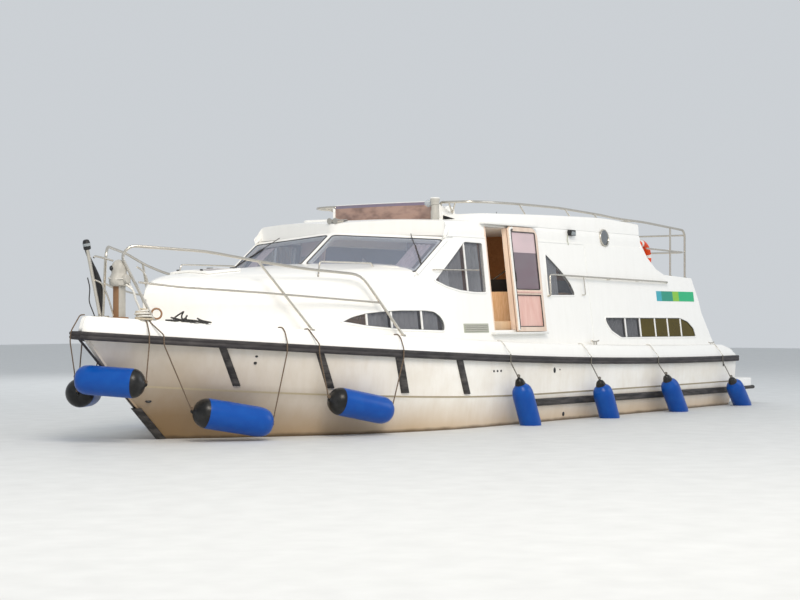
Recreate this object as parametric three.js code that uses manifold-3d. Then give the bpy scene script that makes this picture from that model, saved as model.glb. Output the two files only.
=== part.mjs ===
// Canal cruiser, a houseboat with a flybridge, in millimetres.
// +X points to the bow, +Y to port, +Z up. The origin lies on the centreline, amidships, at the waterline.
import * as THREE from 'three';
import { mergeVertices } from 'three/addons/utils/BufferGeometryUtils.js';
import Module from 'manifold-3d';

const wasm = await Module();
wasm.setup();

const GAP = 0.3; // between pieces that rest on each other
const RUNNING_GAP = 0.6; // round a shaft in its bore
const FAR = 9000; // reach of a cut that runs right through the boat
const BEND_STEP = 0.5; // radians between the sections of a bend

// Hull form
const TRANSOM_X = -6500;
const TRANSOM_RAKE = 0.12;
const RAIL_AFT_Z = 855; // top of the rub rail at the transom
const RAIL_RISE = 490; // how much higher it is at the stem
const RAIL_LENGTH = 13750;
const STEM_FOOT_X = 5875; // stem at the waterline
const STEM_SLOPE = 1.11;
const STEM_HEAD_X = 7240;
const STEM_HALF = 30;
const FULL_BEAM_X = 1500; // forward of this the sides curve in
const QUARTER_X = -2000; // aft of this they draw in a little
const QUARTER_TUCK = 0.05;
const BOTTOM_Z = -560;
const RUN_X = -3000; // aft of this the bottom rises to the transom
const RUN_RISE = 360;
const HULL_WALL = 60;
const RUB_RAIL = 60; // how far it stands out
const CABIN_FLOOR_Z = -330;

// Deck moulding
const DECK_HALF = 2060; // half breadth of its foot and of the hull's edge
const DECK_HEIGHT = 190; // above the top of the rub rail
const DECK_SLOPE = 90; // how far its edge leans inboard
const SHOULDER = [0.75, 0.55]; // where its side rounds over, as shares of the height and of the slope
const DECK_LEDGE = 70; // width of the ledge inside the cabin sides

// Superstructure
const SIDE_HALF = 1857; // half breadth of the cabin sides at SIDE_Z
const SIDE_Z = 1190;
const SIDE_TUMBLE = 0.12;
const TRUNK_NOSE_X = 6180;
const TRUNK_POWER = 2.4;
const CABIN_WALL = 50;
const TRUNK_AFT_X = 2600;
const WHEELHOUSE_AFT_X = -1700;
const ROOF_EDGE_Z = 2620;
const ROOF_AFT_X = -3530;
const COAMING_FRONT_X = 1090;
const COAMING_WALL = 90;
const GLASS = 6;
const PANE_INSET = 6; // how deep a pane lies in its opening

// Doors in the sides
const DOOR_LEAF_FROM = -240;
const DOOR_LEAF_WIDTH = 780;
const DOOR_TRAVEL = 580;
const DOOR_FRONT_X = 1060;
const DOOR_BACK_X = 480;
const DOOR_SILL_Z = 1330;
const DOOR_HEAD_Z = 2790;
const DOOR_STANDOFF = 35;
const DOOR_THICK = 30;
const DOOR_WAIST_Z = 1850;
const DOOR_STILE = 70;

const SOLE_Z = 700;
const PROPELLER = { x: -5700, z: -528, radius: 200, shaft: 20 };
const RUDDER = { x: -6120, stock: 25, top: -60, pintle: 12 };
const SKEG_Z = -800;

const clamp = (v, low = 0, high = 1) => Math.min(high, Math.max(low, v));
const railTop = (x) => RAIL_AFT_Z + RAIL_RISE * clamp((x - TRANSOM_X) / RAIL_LENGTH, 0, 1.1) ** 2.2;
const deckTop = (x) => railTop(x) + DECK_HEIGHT;
const stemX = (z) => Math.min(STEM_HEAD_X, STEM_FOOT_X + STEM_SLOPE * z);
const transomX = (z) => TRANSOM_X + TRANSOM_RAKE * Math.max(RAIL_AFT_Z - z, 0);
const knuckleZ = (x) => 410 + 280 * clamp(x / 6600) ** 2;
const runRise = (x) => RUN_RISE * clamp((RUN_X - x) / 3500) ** 1.3;

// Half breadth of a waterline: straight amidships, a parabola to the stem, a slight tuck aft.
function waterline(x, stem, half) {
  if (x > FULL_BEAM_X) return half * (1 - clamp((x - FULL_BEAM_X) / (stem - FULL_BEAM_X)) ** 2);
  return half * (1 - QUARTER_TUCK * clamp((QUARTER_X - x) / 4500) ** 2);
}

// Half breadth of the cabin side at x and z, moved inboard by inset.
function cabinSide(x, z, inset = 0) {
  const nose = TRUNK_NOSE_X - 1.6 * inset;
  const fullness = 1 - clamp((x - FULL_BEAM_X) / (nose - FULL_BEAM_X)) ** TRUNK_POWER;
  return (SIDE_HALF - SIDE_TUMBLE * (z - SIDE_Z) - inset) * fullness;
}

// A geometry as a solid, with its faces turned outward.
function solid(geometry) {
  geometry.deleteAttribute('normal');
  geometry.deleteAttribute('uv');
  const merged = mergeVertices(geometry, 1e-3);
  const make = (triVerts) => new wasm.Manifold(new wasm.Mesh({
    numProp: 3, vertProperties: merged.attributes.position.array, triVerts,
  }));
  const made = make(new Uint32Array(merged.index.array));
  return made.volume() > 0 ? made : make(new Uint32Array(merged.index.array).reverse());
}

// A solid through rings of the same number of [x, y, z] points. Its ends are closed by a fan from the
// middle, or, where the second half of a ring mirrors the first, by strips straight across the boat.
function loft(rings, { strips = false } = {}) {
  const count = rings[0].length;
  const points = rings.flat();
  const index = [];
  for (let r = 0; r + 1 < rings.length; r++) {
    for (let i = 0; i < count; i++) {
      const a = r * count + i;
      const b = r * count + ((i + 1) % count);
      // the second half of a ring takes the other diagonal, so that both sides of the boat match
      if (i < count / 2) index.push(a, b, b + count, a, b + count, a + count);
      else index.push(a, b, a + count, b, b + count, a + count);
    }
  }
  const close = (first, forward) => {
    const face = (a, b, c) => index.push(...(forward ? [a, b, c] : [c, b, a]));
    if (strips) {
      for (let i = 0; i + 1 < count / 2; i++) {
        const [a, b, c, d] = [i, i + 1, count - 2 - i, count - 1 - i].map((k) => first + k);
        face(a, b, c);
        face(a, c, d);
      }
      return;
    }
    const ring = points.slice(first, first + count);
    points.push([0, 1, 2].map((axis) => ring.reduce((sum, p) => sum + p[axis], 0) / count));
    for (let i = 0; i < count; i++) face(first + i, first + ((i + 1) % count), points.length - 1);
  };
  close(0, false);
  close((rings.length - 1) * count, true);
  const geometry = new THREE.BufferGeometry();
  geometry.setAttribute('position', new THREE.Float32BufferAttribute(points.flat(), 3));
  geometry.setIndex(index);
  return solid(geometry);
}

const union = (solids) => solids.reduce((all, one) => all.add(one));
const mirrored = (points) => points.map(([x, y, z]) => [x, -y, z]);

function block(x0, x1, y0, y1, z0, z1) {
  const box = new THREE.BoxGeometry(x1 - x0, y1 - y0, z1 - z0);
  return solid(box.translate((x0 + x1) / 2, (y0 + y1) / 2, (z0 + z1) / 2));
}

const outline = (points) => new THREE.Shape(points.map(([a, b]) => new THREE.Vector2(a, b)));

// An outline in the X-Z plane, carried across the boat from y0 to y1.
function sidePrism(points, y0, y1) {
  const geometry = new THREE.ExtrudeGeometry(outline(points), { depth: y1 - y0, bevelEnabled: false });
  return solid(geometry.rotateX(Math.PI / 2).translate(0, y1, 0));
}

const vector = ([x, y, z]) => new THREE.Vector3(x, y, z);

// A round bar from one point to another; end is the radius at its far end.
function rod(from, to, radius, sides = 8, end = radius) {
  const a = vector(from);
  const b = vector(to);
  const bar = new THREE.CylinderGeometry(end, radius, a.distanceTo(b), sides);
  const turn = new THREE.Quaternion().setFromUnitVectors(
    new THREE.Vector3(0, 1, 0), b.clone().sub(a).normalize());
  return solid(bar.applyQuaternion(turn).translate(...a.add(b).multiplyScalar(0.5).toArray()));
}

// A tube along straight runs whose corners are rounded to the bend radius.
function tube(points, radius, { sides = 8, bend = 120 } = {}) {
  const corners = points.map(vector);
  const path = [corners[0]];
  for (let i = 1; i + 1 < corners.length; i++) {
    const before = corners[i - 1].clone().sub(corners[i]);
    const after = corners[i + 1].clone().sub(corners[i]);
    const cut = Math.min(bend, before.length() / 2.2, after.length() / 2.2);
    const turn = Math.PI - before.angleTo(after);
    const enter = corners[i].clone().addScaledVector(before.normalize(), cut);
    const leave = corners[i].clone().addScaledVector(after.normalize(), cut);
    path.push(...new THREE.QuadraticBezierCurve3(enter, corners[i], leave).getPoints(Math.ceil(turn / BEND_STEP)));
  }
  path.push(corners[corners.length - 1]);
  const way = (i) => path[i + 1].clone().sub(path[i]).normalize();
  let up = new THREE.Vector3(0, 0.6, 0.8);
  if (Math.abs(way(0).dot(up)) > 0.9) up = new THREE.Vector3(1, 0, 0);
  return loft(path.map((point, i) => {
    const along = way(Math.max(i - 1, 0)).add(way(Math.min(i, path.length - 2))).normalize();
    up = up.clone().addScaledVector(along, -up.dot(along)).normalize();
    const across = along.clone().cross(up);
    return Array.from({ length: sides }, (_, k) => {
      const angle = (k * 2 * Math.PI) / sides;
      return point.clone().addScaledVector(up, radius * Math.cos(angle))
        .addScaledVector(across, radius * Math.sin(angle)).toArray();
    });
  }));
}

// Shares of the length at which the hull and the deck have their sections.
const STATIONS = [0, 0.12, 0.24, 0.36, 0.48, 0.58, 0.65, 0.71, 0.77, 0.82, 0.87, 0.91, 0.94, 0.97, 1];

// Hull, offset outward by grow; its top stands rise above the rub rail.
function hullForm(grow = 0, rise = 0) {
  // half breadth, height as a function of x, height that sets the stem and transom
  const levels = [
    [DECK_HALF, (x) => railTop(x) + rise, 1230],
    [DECK_HALF, (x) => railTop(x), 1230],
    [2035, (x) => knuckleZ(x) + 12, 702],
    [2012, (x) => knuckleZ(x) - 12, 678],
    [1950, () => 0, 0],
    [1830, (x) => -280 + runRise(x) * 0.45 - grow, -280],
    [700, (x) => BOTTOM_Z + 70 + runRise(x) * 0.95 - grow, -500],
    [90, (x) => BOTTOM_Z + runRise(x) - grow, -560],
  ];
  const rings = STATIONS.map((s) => {
    const port = levels.slice(rise ? 0 : 1).map(([half, height, level]) => {
      const stem = stemX(level) + 1.49 * grow;
      const x = THREE.MathUtils.lerp(transomX(level) - grow, stem, s);
      return [x, Math.max(waterline(x, stem, half + grow), STEM_HALF + grow, 4), height(x)];
    });
    return [...port, ...mirrored(port).reverse()];
  });
  return loft(rings, { strips: true });
}

// A slab that follows the sheer between two heights measured from the top of the rub rail.
function sheerSlab(low, high) {
  const sections = STATIONS.map((s) => THREE.MathUtils.lerp(TRANSOM_X, STEM_HEAD_X, s));
  return loft([TRANSOM_X - 200, ...sections, STEM_HEAD_X + 300].map((x) => [
    [x, -FAR, railTop(x) + low], [x, FAR, railTop(x) + low],
    [x, FAR, railTop(x) + high], [x, -FAR, railTop(x) + high],
  ]));
}

// Cabin sides as one tall body, moved inboard by inset.
function sideForm(inset = 0) {
  const nose = TRUNK_NOSE_X - 1.6 * inset;
  const stations = [0, 0.12, 0.25, 0.38, 0.5, 0.62, 0.73, 0.83, 0.91, 0.97, 1];
  const bow = stations.map((s) => THREE.MathUtils.lerp(FULL_BEAM_X, nose, s));
  return loft([-6300, ...bow].map((x) => {
    const half = (z) => Math.max(cabinSide(x, z, inset), 4);
    return [[x, half(800), 800], [x, half(3300), 3300], [x, -half(3300), 3300], [x, -half(800), 800]];
  }));
}

// Foredeck trunk top: x, height of the crown. Each section falls away to the sides by the crown's drops.
const TRUNK_CROWN = [
  [2300, 2290], [3080, 2240], [3900, 2180], [4680, 2120], [5200, 2085], [5510, 2060], [5820, 2010],
  [5990, 1960], [6090, 1900], [6150, 1820], [6240, 1500],
];
const CROWN_DROPS = [[0, 0], [0.35, 14], [0.62, 40], [0.8, 72], [0.92, 112], [1, 160], [1.3, 420]];

function trunkTop(drop = 0) {
  return loft(TRUNK_CROWN.map(([x, crown]) => {
    const half = Math.max(cabinSide(x, 2000), 350);
    const port = CROWN_DROPS.slice(1).map(([across, fall]) => [x, half * across, crown - fall - drop]);
    port.push([x, half * 1.3, 700]);
    return [[x, 0, crown - drop], ...port, ...mirrored(port).reverse()];
  }));
}

// Raked windscreen: corners of the port pane's plane, at the centre and at the side.
const SCREEN = {
  footCentre: [3050, 0, 2240], footSide: [2725, 1680, 2105],
  headCentre: [2450, 0, 2655], headSide: [2067, 1680, 2560],
};
const screenNormal = vector(SCREEN.footSide).sub(vector(SCREEN.footCentre))
  .cross(vector(SCREEN.headCentre).sub(vector(SCREEN.footCentre))).normalize();

// A point of the port pane's plane: across runs from the centre to the side, up from foot to head.
function onScreen(across, up, depth) {
  const foot = vector(SCREEN.footCentre).lerp(vector(SCREEN.footSide), across);
  const head = vector(SCREEN.headCentre).lerp(vector(SCREEN.headSide), across);
  return foot.lerp(head, up).addScaledVector(screenNormal, depth).toArray();
}

// A slab parallel to the port pane, between two depths outside its plane.
function screenSlab(a0, a1, u0, u1, inner, outer) {
  const ring = (depth) => [[a0, u0], [a1, u0], [a1, u1], [a0, u1]].map(([a, u]) => onScreen(a, u, depth));
  return loft([ring(inner), ring(outer)]);
}

const flip = (made) => made.mirror([0, 1, 0]);

const hullOutside = hullForm();
// Half breadth of the deck moulding's side, this far inboard of the hull's edge.
const deckEdge = (x, inboard) => Math.max(
  waterline(x, STEM_HEAD_X - inboard * 0.9, DECK_HALF - inboard), STEM_HALF);
// height above the rub rail, how far inboard of the hull's edge
const DECK_LEVELS = [[GAP, 0], [DECK_HEIGHT * SHOULDER[0], DECK_SLOPE * SHOULDER[1]], [DECK_HEIGHT, DECK_SLOPE]];

// The deck moulding without its opening, raised by lift; deep carries it down to the waterline.
const deckForm = (lift = 0, deep = false) => {
  return loft(STATIONS.map((s) => {
    const port = DECK_LEVELS.map(([height, inboard]) => {
      const x = THREE.MathUtils.lerp(TRANSOM_X, STEM_HEAD_X - inboard * 0.9, s);
      return [x, deckEdge(x, inboard), railTop(x) + height + lift];
    });
    if (deep) port[0][2] = 0;
    return [...port, ...mirrored(port).reverse()];
  }), { strips: true });
};
const belowDeck = deckForm(GAP, true);
const cabinBox = (x0, x1, z0, z1) => block(x0, x1, -FAR, FAR, z0, z1);

// Outlines of the openings in the cabin side, x and z. The panes lie between the mullions' x values.
const WINDOWS = {
  fore: {
    points: [[4042, 1448], [3866, 1526], [3655, 1572], [3354, 1598], [3100, 1610], [2634, 1610],
      [2457, 1594], [2330, 1527], [2262, 1433], [2270, 1319], [3129, 1343], [3674, 1391]],
    bars: [3650, 3255, 2713], bar: 30,
  },
  side: {
    points: [[1627, 2562], [2395, 2004], [2127, 1920], [1835, 1869], [1474, 1846], [1184, 1849], [1170, 2555]],
    bars: [1640], bar: 26,
  },
  quarter: {
    points: [[-500, 2460], [-717, 2334], [-950, 2189], [-1153, 2027], [-1257, 1877], [-1247, 1832],
      [-486, 1824]],
    bars: [], bar: 0,
  },
  aft: {
    points: [[-2100, 1514], [-4615, 1508], [-4890, 1448], [-5087, 1330], [-5143, 1178], [-2556, 1185],
      [-2259, 1297], [-2128, 1421]],
    bars: [-2742, -3222, -3729, -4169, -4633], bar: 30,
  },
};
const WALL_INNER_Y = 1300;

// The opening of a window. Its bars stand in front of the pane and are as deep as the pane is set back.
function windowCut({ points, bars, bar }) {
  const whole = sidePrism(points, WALL_INNER_Y, FAR);
  const lights = bars.reduce((cut, x) => cut.subtract(cabinBox(x - bar / 2, x + bar / 2, 0, FAR)), whole);
  return lights.add(whole.intersect(sideForm(PANE_INSET - GAP)));
}

// A closed outline moved outward by grow.
function offsetOutline(points, grow) {
  const turn = Math.sign(THREE.ShapeUtils.area(points.map(([x, y]) => ({ x, y }))));
  const normal = ([ax, ay], [bx, by]) => new THREE.Vector2(by - ay, ax - bx).normalize().multiplyScalar(turn);
  return points.map((point, i) => {
    const before = normal(points.at(i - 1), point);
    const both = before.clone().add(normal(point, points[(i + 1) % points.length]));
    both.multiplyScalar(grow / both.dot(before));
    return [point[0] + both.x, point[1] + both.y];
  });
}

// A pane of one piece, set into the opening of its window.
function windowPane({ points }) {
  return sideForm(PANE_INSET).subtract(sideForm(PANE_INSET + GLASS))
    .intersect(sidePrism(offsetOutline(points, -GAP), WALL_INNER_Y, FAR));
}

const doorway = block(DOOR_BACK_X, DOOR_FRONT_X, WALL_INNER_Y, FAR, DOOR_SILL_Z, DOOR_HEAD_Z);
const bothSides = (cut) => cut.add(flip(cut));

function hullShell() {
  const inside = hullForm(-HULL_WALL, 400).intersect(cabinBox(-5850, 5300, CABIN_FLOOR_Z, FAR));
  const skeg = sidePrism([[4200, BOTTOM_Z + 60], [3600, -640], [2200, SKEG_Z], [-6200, SKEG_Z],
    [-6200, SKEG_Z + 45], [-5450, SKEG_Z + 60], [-5380, -640], [-5330, -420], [-5250, -330],
    [RUN_X, BOTTOM_Z + 40]], -40, 40);
  const tubeBoss = rod([-5000, 0, PROPELLER.z], [-5470, 0, PROPELLER.z], 60, 16, 42);
  const stockBoss = rod([RUDDER.x, 0, -330], [RUDDER.x, 0, -120], 60, 16);
  const shaftBore = rod([-5600, 0, PROPELLER.z], [-5250, 0, PROPELLER.z], PROPELLER.shaft + RUNNING_GAP, 16);
  const stockBore = rod([RUDDER.x, 0, -700], [RUDDER.x, 0, RUDDER.top + 10], RUDDER.stock + RUNNING_GAP, 16);
  const pintleBore = rod([RUDDER.x, 0, SKEG_Z + 12], [RUDDER.x, 0, SKEG_Z + 100], RUDDER.pintle + RUNNING_GAP, 16);
  return hullOutside.subtract(inside).add(skeg).add(tubeBoss).add(stockBoss)
    .subtract(shaftBore).subtract(stockBore).subtract(pintleBore);
}

// Slanting rub strips on the bow: x at the rail, x and z at the foot.
const RUB_STRIPS = [[5741, 5439, 662], [4541, 4308, 614], [3353, 3197, 523], [2230, 2032, 475]];

// Guards on the stem: half width, how far they stand out, lowest and highest point.
const STEM_GUARDS = [[58, 34, 0, 400], [16, 12, 380, 1290]];

// A broad guard at the waterline and a narrow one above it, made larger by grow.
const stemGuard = (grow = 0) => union(STEM_GUARDS.map(([half, out, low, high]) => hullForm(out + grow, 100)
  .intersect(block(5600, FAR, -half - grow, half + grow, low - grow, high + grow))));

function rubRail() {
  const rail = hullForm(RUB_RAIL, 100).intersect(sheerSlab(-100, 0)).subtract(hullForm(GAP, 200));
  const strips = RUB_STRIPS.map(([head, foot, low]) => sidePrism([
    [head - 62, railTop(head) - 50], [head + 62, railTop(head) - 50], [foot + 62, low], [foot - 62, low],
  ], 0, FAR));
  const band = hullForm(26, 100).intersect(bothSides(union(strips))).subtract(hullForm(GAP, 200));
  const guard = stemGuard().subtract(hullForm(GAP, 200));
  return rail.add(band).add(guard).intersect(cabinBox(TRANSOM_X + 2, FAR, -FAR, FAR));
}

function lowerRail() {
  return hullForm(48, 100).subtract(hullForm(GAP, 200)).intersect(sidePrism([
    [-6300, 215], [280, 240], [280, 345], [-6300, 315],
  ], 0, FAR));
}

function deckMoulding() {
  const opening = sideForm(DECK_LEDGE).intersect(cabinBox(-5600, 5950, 0, FAR));
  const aftSlope = sidePrism([[-6700, 1200], [-5960, 1200], [-5960, 1070], [-6360, 960], [-6520, 850],
    [-6700, 850]], -FAR, FAR);
  return deckForm().subtract(opening).subtract(aftSlope);
}

const HATCH = { x0: 4750, x1: 5330, half: 300, thick: 35 };

function foreTrunk() {
  const outside = sideForm().intersect(trunkTop());
  const inside = sideForm(CABIN_WALL).intersect(trunkTop(CABIN_WALL)).intersect(cabinBox(-FAR, 5900, -FAR, FAR));
  const hatchway = block(HATCH.x0, HATCH.x1, -HATCH.half, HATCH.half, 1900, FAR);
  const shell = outside.subtract(inside).intersect(cabinBox(TRUNK_AFT_X, FAR, 0, FAR));
  const fore = windowCut(WINDOWS.fore).intersect(cabinBox(TRUNK_AFT_X, FAR, 0, FAR));
  return shell.subtract(bothSides(fore)).subtract(hatchway).subtract(belowDeck);
}

// The hatch lid lies on the trunk top and follows its crown.
function foredeckHatch() {
  const lid = block(HATCH.x0 - 40, HATCH.x1 + 40, -HATCH.half - 40, HATCH.half + 40, 1900, FAR);
  return trunkTop(-HATCH.thick).subtract(trunkTop(-GAP)).intersect(lid);
}

// Where the trunk lies, for the pieces that stand on it.
const trunkBelow = trunkTop(-GAP).intersect(cabinBox(TRUNK_AFT_X, FAR, -FAR, FAR));

// Everything aft of the windscreen's two planes, moved in by inset.
function behindScreen(inset) {
  const along = vector(SCREEN.footSide).sub(vector(SCREEN.footCentre)).setLength(FAR);
  const upward = screenNormal.clone().cross(along).setLength(FAR);
  const ring = (depth) => [[-1, -1], [1, -1], [1, 1], [-1, 1]].map(([a, b]) => vector(SCREEN.footCentre)
    .addScaledVector(along, a).addScaledVector(upward, b).addScaledVector(screenNormal, depth).toArray());
  const ahead = loft([ring(-inset), ring(FAR)]);
  return cabinBox(-FAR, 3300, 600, 3300).subtract(ahead).subtract(flip(ahead));
}

const SCREEN_OPENING = [0.045, 0.955, 0.07, 0.93];

function wheelhouse() {
  const outside = sideForm().intersect(behindScreen(0));
  const inside = sideForm(CABIN_WALL).intersect(behindScreen(CABIN_WALL));
  const shell = outside.subtract(inside).intersect(cabinBox(WHEELHOUSE_AFT_X, FAR, 0, FAR));
  const fore = windowCut(WINDOWS.fore).intersect(cabinBox(-FAR, TRUNK_AFT_X, 0, FAR));
  const cuts = [windowCut(WINDOWS.side), windowCut(WINDOWS.quarter), doorway, fore,
    screenSlab(...SCREEN_OPENING, -200, 200)];
  const track = sideForm(-76).subtract(sideForm(10))
    .intersect(block(DOOR_LEAF_FROM - 40, DOOR_LEAF_FROM + DOOR_LEAF_WIDTH + DOOR_TRAVEL + 40, 0, FAR,
      DOOR_SILL_Z - 60, DOOR_SILL_Z - 30));
  return shell.add(bothSides(track)).subtract(bothSides(union(cuts))).subtract(trunkBelow).subtract(belowDeck)
    .subtract(aboveRoofEdge());
}

function windscreenPane() {
  const [a0, a1, u0, u1] = SCREEN_OPENING;
  const edge = GAP / 1700; // the opening is about this wide
  const rise = GAP / 700; // and this high
  const pane = screenSlab(a0 + edge, a1 - edge, u0 + rise, u1 - rise, -PANE_INSET - GLASS, -PANE_INSET);
  return pane.subtract(aboveRoofEdge()).subtract(trunkBelow);
}

// Roof sections: x, height of the edge, height of the crown.
const ROOF_TOP = [
  [2640, 2740, 2780], [2420, 2760, 2810], [2260, 2790, 2845], [2100, 2825, 2875], [1900, 2845, 2890],
  [1090, 2875, 2920], [0, 2875, 2920], [ROOF_AFT_X, 2875, 2920],
];
const ROOF_CAMBER = 60; // how much higher its underside is at the centreline
const roofHalf = (x, edge) => cabinSide(x, edge) + 18;

// All that lies above the underside of the roof, lowered by drop.
function aboveRoofEdge(drop = GAP) {
  const low = ROOF_EDGE_Z - drop;
  return loft(ROOF_TOP.map(([x, edge]) => {
    const half = roofHalf(x, edge);
    const port = [[x, half, low], [x, FAR, low], [x, FAR, FAR]];
    return [[x, 0, low + ROOF_CAMBER], ...port, ...mirrored(port).reverse()];
  }));
}

const BROW = { centre: [2500, 2660], side: [2128, 2572], lean: 0.62 };

// The roof as one body, its front cut to the two faces of the brow.
function roofOutside() {
  const body = loft(ROOF_TOP.map(([x, edge, crown]) => {
    const half = roofHalf(x, edge);
    const port = [[x, half * 0.55, crown - 12], [x, half - 100, edge - 5], [x, half - 30, edge - 45],
      [x, half - 8, Math.max(edge - 100, ROOF_EDGE_Z + 12)], [x, half, ROOF_EDGE_Z]];
    return [[x, 0, crown], ...port, [x, 0, ROOF_EDGE_Z + ROOF_CAMBER], ...mirrored(port).reverse()];
  }));
  const [[cx, cz], [sx, sz]] = [BROW.centre, BROW.side];
  const ring = (ahead) => [[-0.4, -100], [2.2, -100], [2.2, 500], [-0.4, 500]].map(([a, rise]) => [
    cx + (sx - cx) * a - rise * BROW.lean + ahead, 1680 * a, cz + (sz - cz) * a + rise]);
  const ahead = loft([ring(0), ring(2000)]);
  return body.subtract(ahead).subtract(flip(ahead));
}

// The top of the coaming round the flybridge: x, z.
const COAMING_LINE = [[COAMING_FRONT_X + 60, 2800], [COAMING_FRONT_X, 2975], [0, 3010], [-1200, 3040], [-2400, 3056],
  [ROOF_AFT_X, 3010]];
const underCoaming = (lift = 0) => sidePrism(
  [...COAMING_LINE.map(([x, z]) => [x, z + lift]), [ROOF_AFT_X, 2780], [COAMING_FRONT_X + 60, 2780]], -FAR, FAR);

// The wing that sweeps down aft from each end of the flybridge screen.
const WING_INNER_Y = 930;
const flyWing = (grow = 0) => sidePrism([[1150 + grow, 2850], [1150 + grow, 3125 + grow], [1060, 3098 + grow],
  [920, 3040 + grow], [780, 3008 + grow], [560 - grow, 2995 + grow], [560 - grow, 2850]],
WING_INNER_Y - grow, WING_INNER_Y + 32 + grow);

// The search lamp before the screen: its post and its head.
const SEARCH_LAMP = { x: 1250, y: 953 };

function searchLamp() {
  const { x, y } = SEARCH_LAMP;
  return rod([x, y, 2850], [x, y, 3120], 60, 14, 57).add(rod([x, y, 3110], [x, y, 3205], 68, 14, 46));
}

function roofMoulding() {
  const skin = 50;
  const hollow = loft(ROOF_TOP.filter(([x]) => x < 2000).map(([x, edge, crown]) => {
    const half = cabinSide(x, edge) - skin;
    const port = [[x, 0, crown - skin], [x, half * 0.55, crown - 12 - skin], [x, half - 50, edge - 5 - skin],
      [x, half, edge - 60 - skin], [x, half, 2500]];
    return [...port, ...mirrored(port.slice(1)).reverse()];
  })).intersect(cabinBox(ROOF_AFT_X + skin, FAR, 0, FAR));
  const well = sideForm(COAMING_WALL).intersect(cabinBox(-FAR, COAMING_FRONT_X - COAMING_WALL, 2700, FAR));
  const steps = block(ROOF_AFT_X - 10, ROOF_AFT_X + 300, -600, 600, 2925, FAR);
  const coaming = sideForm().intersect(underCoaming()).subtract(well).subtract(steps);
  const track = sideForm(-76).subtract(sideForm(10))
    .intersect(block(DOOR_LEAF_FROM - 40, DOOR_LEAF_FROM + DOOR_LEAF_WIDTH + DOOR_TRAVEL + 40, 0, FAR,
      DOOR_HEAD_Z + 30, DOOR_HEAD_Z + 55));
  const fairings = [coaming, bothSides(flyWing()), searchLamp()];
  return roofOutside().add(union(fairings)).subtract(hollow).add(bothSides(track)).subtract(bothSides(doorway));
}

// Top of the aft deck: x, z at its fore and aft end.
const AFT_DECK = [[-4240, 2205], [-5210, 2165]];
const aftDeckZ = (x) => THREE.MathUtils.mapLinear(x, AFT_DECK[0][0], AFT_DECK[1][0], AFT_DECK[0][1], AFT_DECK[1][1]);

// The after superstructure: its cabin under the roof, and behind it the part that carries the aft deck.
function aftCabin() {
  const outside = sideForm().intersect(sidePrism([
    [WHEELHOUSE_AFT_X, 900], [WHEELHOUSE_AFT_X, 2860], [ROOF_AFT_X, 2860], [ROOF_AFT_X, 2700],
    [-3710, 2474], [-3980, 2290], ...AFT_DECK, [-5390, 1803], [-5450, 1583], [-5780, 1069],
    [-5830, 900],
  ], -FAR, FAR));
  const inside = sideForm(CABIN_WALL).intersect(sidePrism([
    [WHEELHOUSE_AFT_X - 40, 700], [WHEELHOUSE_AFT_X - 40, 2900], [ROOF_AFT_X + 50, 2900],
    [ROOF_AFT_X + 50, 2140], [-5175, 2115], [-5340, 1790], [-5400, 1560], [-5720, 1060], [-5760, 700],
  ], -FAR, FAR));
  const wings = sideForm(60).intersect(cabinBox(-4260, ROOF_AFT_X, 2190, FAR));
  const step = block(ROOF_AFT_X - 260, ROOF_AFT_X, -450, 450, 2150, 2520);
  const passage = block(WHEELHOUSE_AFT_X - 100, WHEELHOUSE_AFT_X + 10, 150, 800, 600, 2500);
  return outside.subtract(inside).subtract(wings).add(step).subtract(passage)
    .subtract(bothSides(windowCut(WINDOWS.aft))).subtract(belowDeck)
    .subtract(aboveRoofEdge().intersect(cabinBox(ROOF_AFT_X, FAR, 0, FAR)))
    .intersect(cabinBox(-FAR, WHEELHOUSE_AFT_X, 0, FAR));
}

// A sliding leaf: a frame with a glazed upper half, hung outside the wall, on rollers in the lower track.
const leafSpan = (from) => [from, from + DOOR_LEAF_WIDTH];
const LEAF_LOW_Z = DOOR_SILL_Z - 22;
const LEAF_HIGH_Z = DOOR_HEAD_Z + 18;

function doorLeaf(from) {
  const [x0, x1] = leafSpan(from);
  const round = 150;
  const shape = new THREE.Shape();
  shape.moveTo(x0, LEAF_LOW_Z).lineTo(x1, LEAF_LOW_Z).lineTo(x1, LEAF_HIGH_Z).lineTo(x0 + round, LEAF_HIGH_Z);
  shape.absarc(x0 + round, LEAF_HIGH_Z - round, round, Math.PI / 2, Math.PI);
  const prism = solid(new THREE.ExtrudeGeometry(shape, { depth: FAR, bevelEnabled: false, curveSegments: 6 })
    .rotateX(Math.PI / 2).translate(0, FAR, 0));
  const leaf = sideForm(-DOOR_STANDOFF - DOOR_THICK).subtract(sideForm(-DOOR_STANDOFF)).intersect(prism);
  const light = block(x0 + DOOR_STILE, x1 - DOOR_STILE, 0, FAR, DOOR_WAIST_Z + 60, LEAF_HIGH_Z - DOOR_STILE);
  const panelSink = sideForm(-DOOR_STANDOFF - 14).subtract(sideForm(-DOOR_STANDOFF));
  const panel = block(x0 + DOOR_STILE, x1 - DOOR_STILE, 0, FAR, LEAF_LOW_Z + DOOR_STILE, DOOR_WAIST_Z - 20);
  const rollers = [x0 + 120, x1 - 120].map((x) => sideForm(-DOOR_STANDOFF - DOOR_THICK)
    .subtract(sideForm(-DOOR_STANDOFF)).intersect(block(x - 30, x + 30, 0, FAR, DOOR_SILL_Z - 29.5, LEAF_LOW_Z + 5)));
  return union([leaf.subtract(light).subtract(panel), panelSink.intersect(panel), ...rollers]);
}

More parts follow.
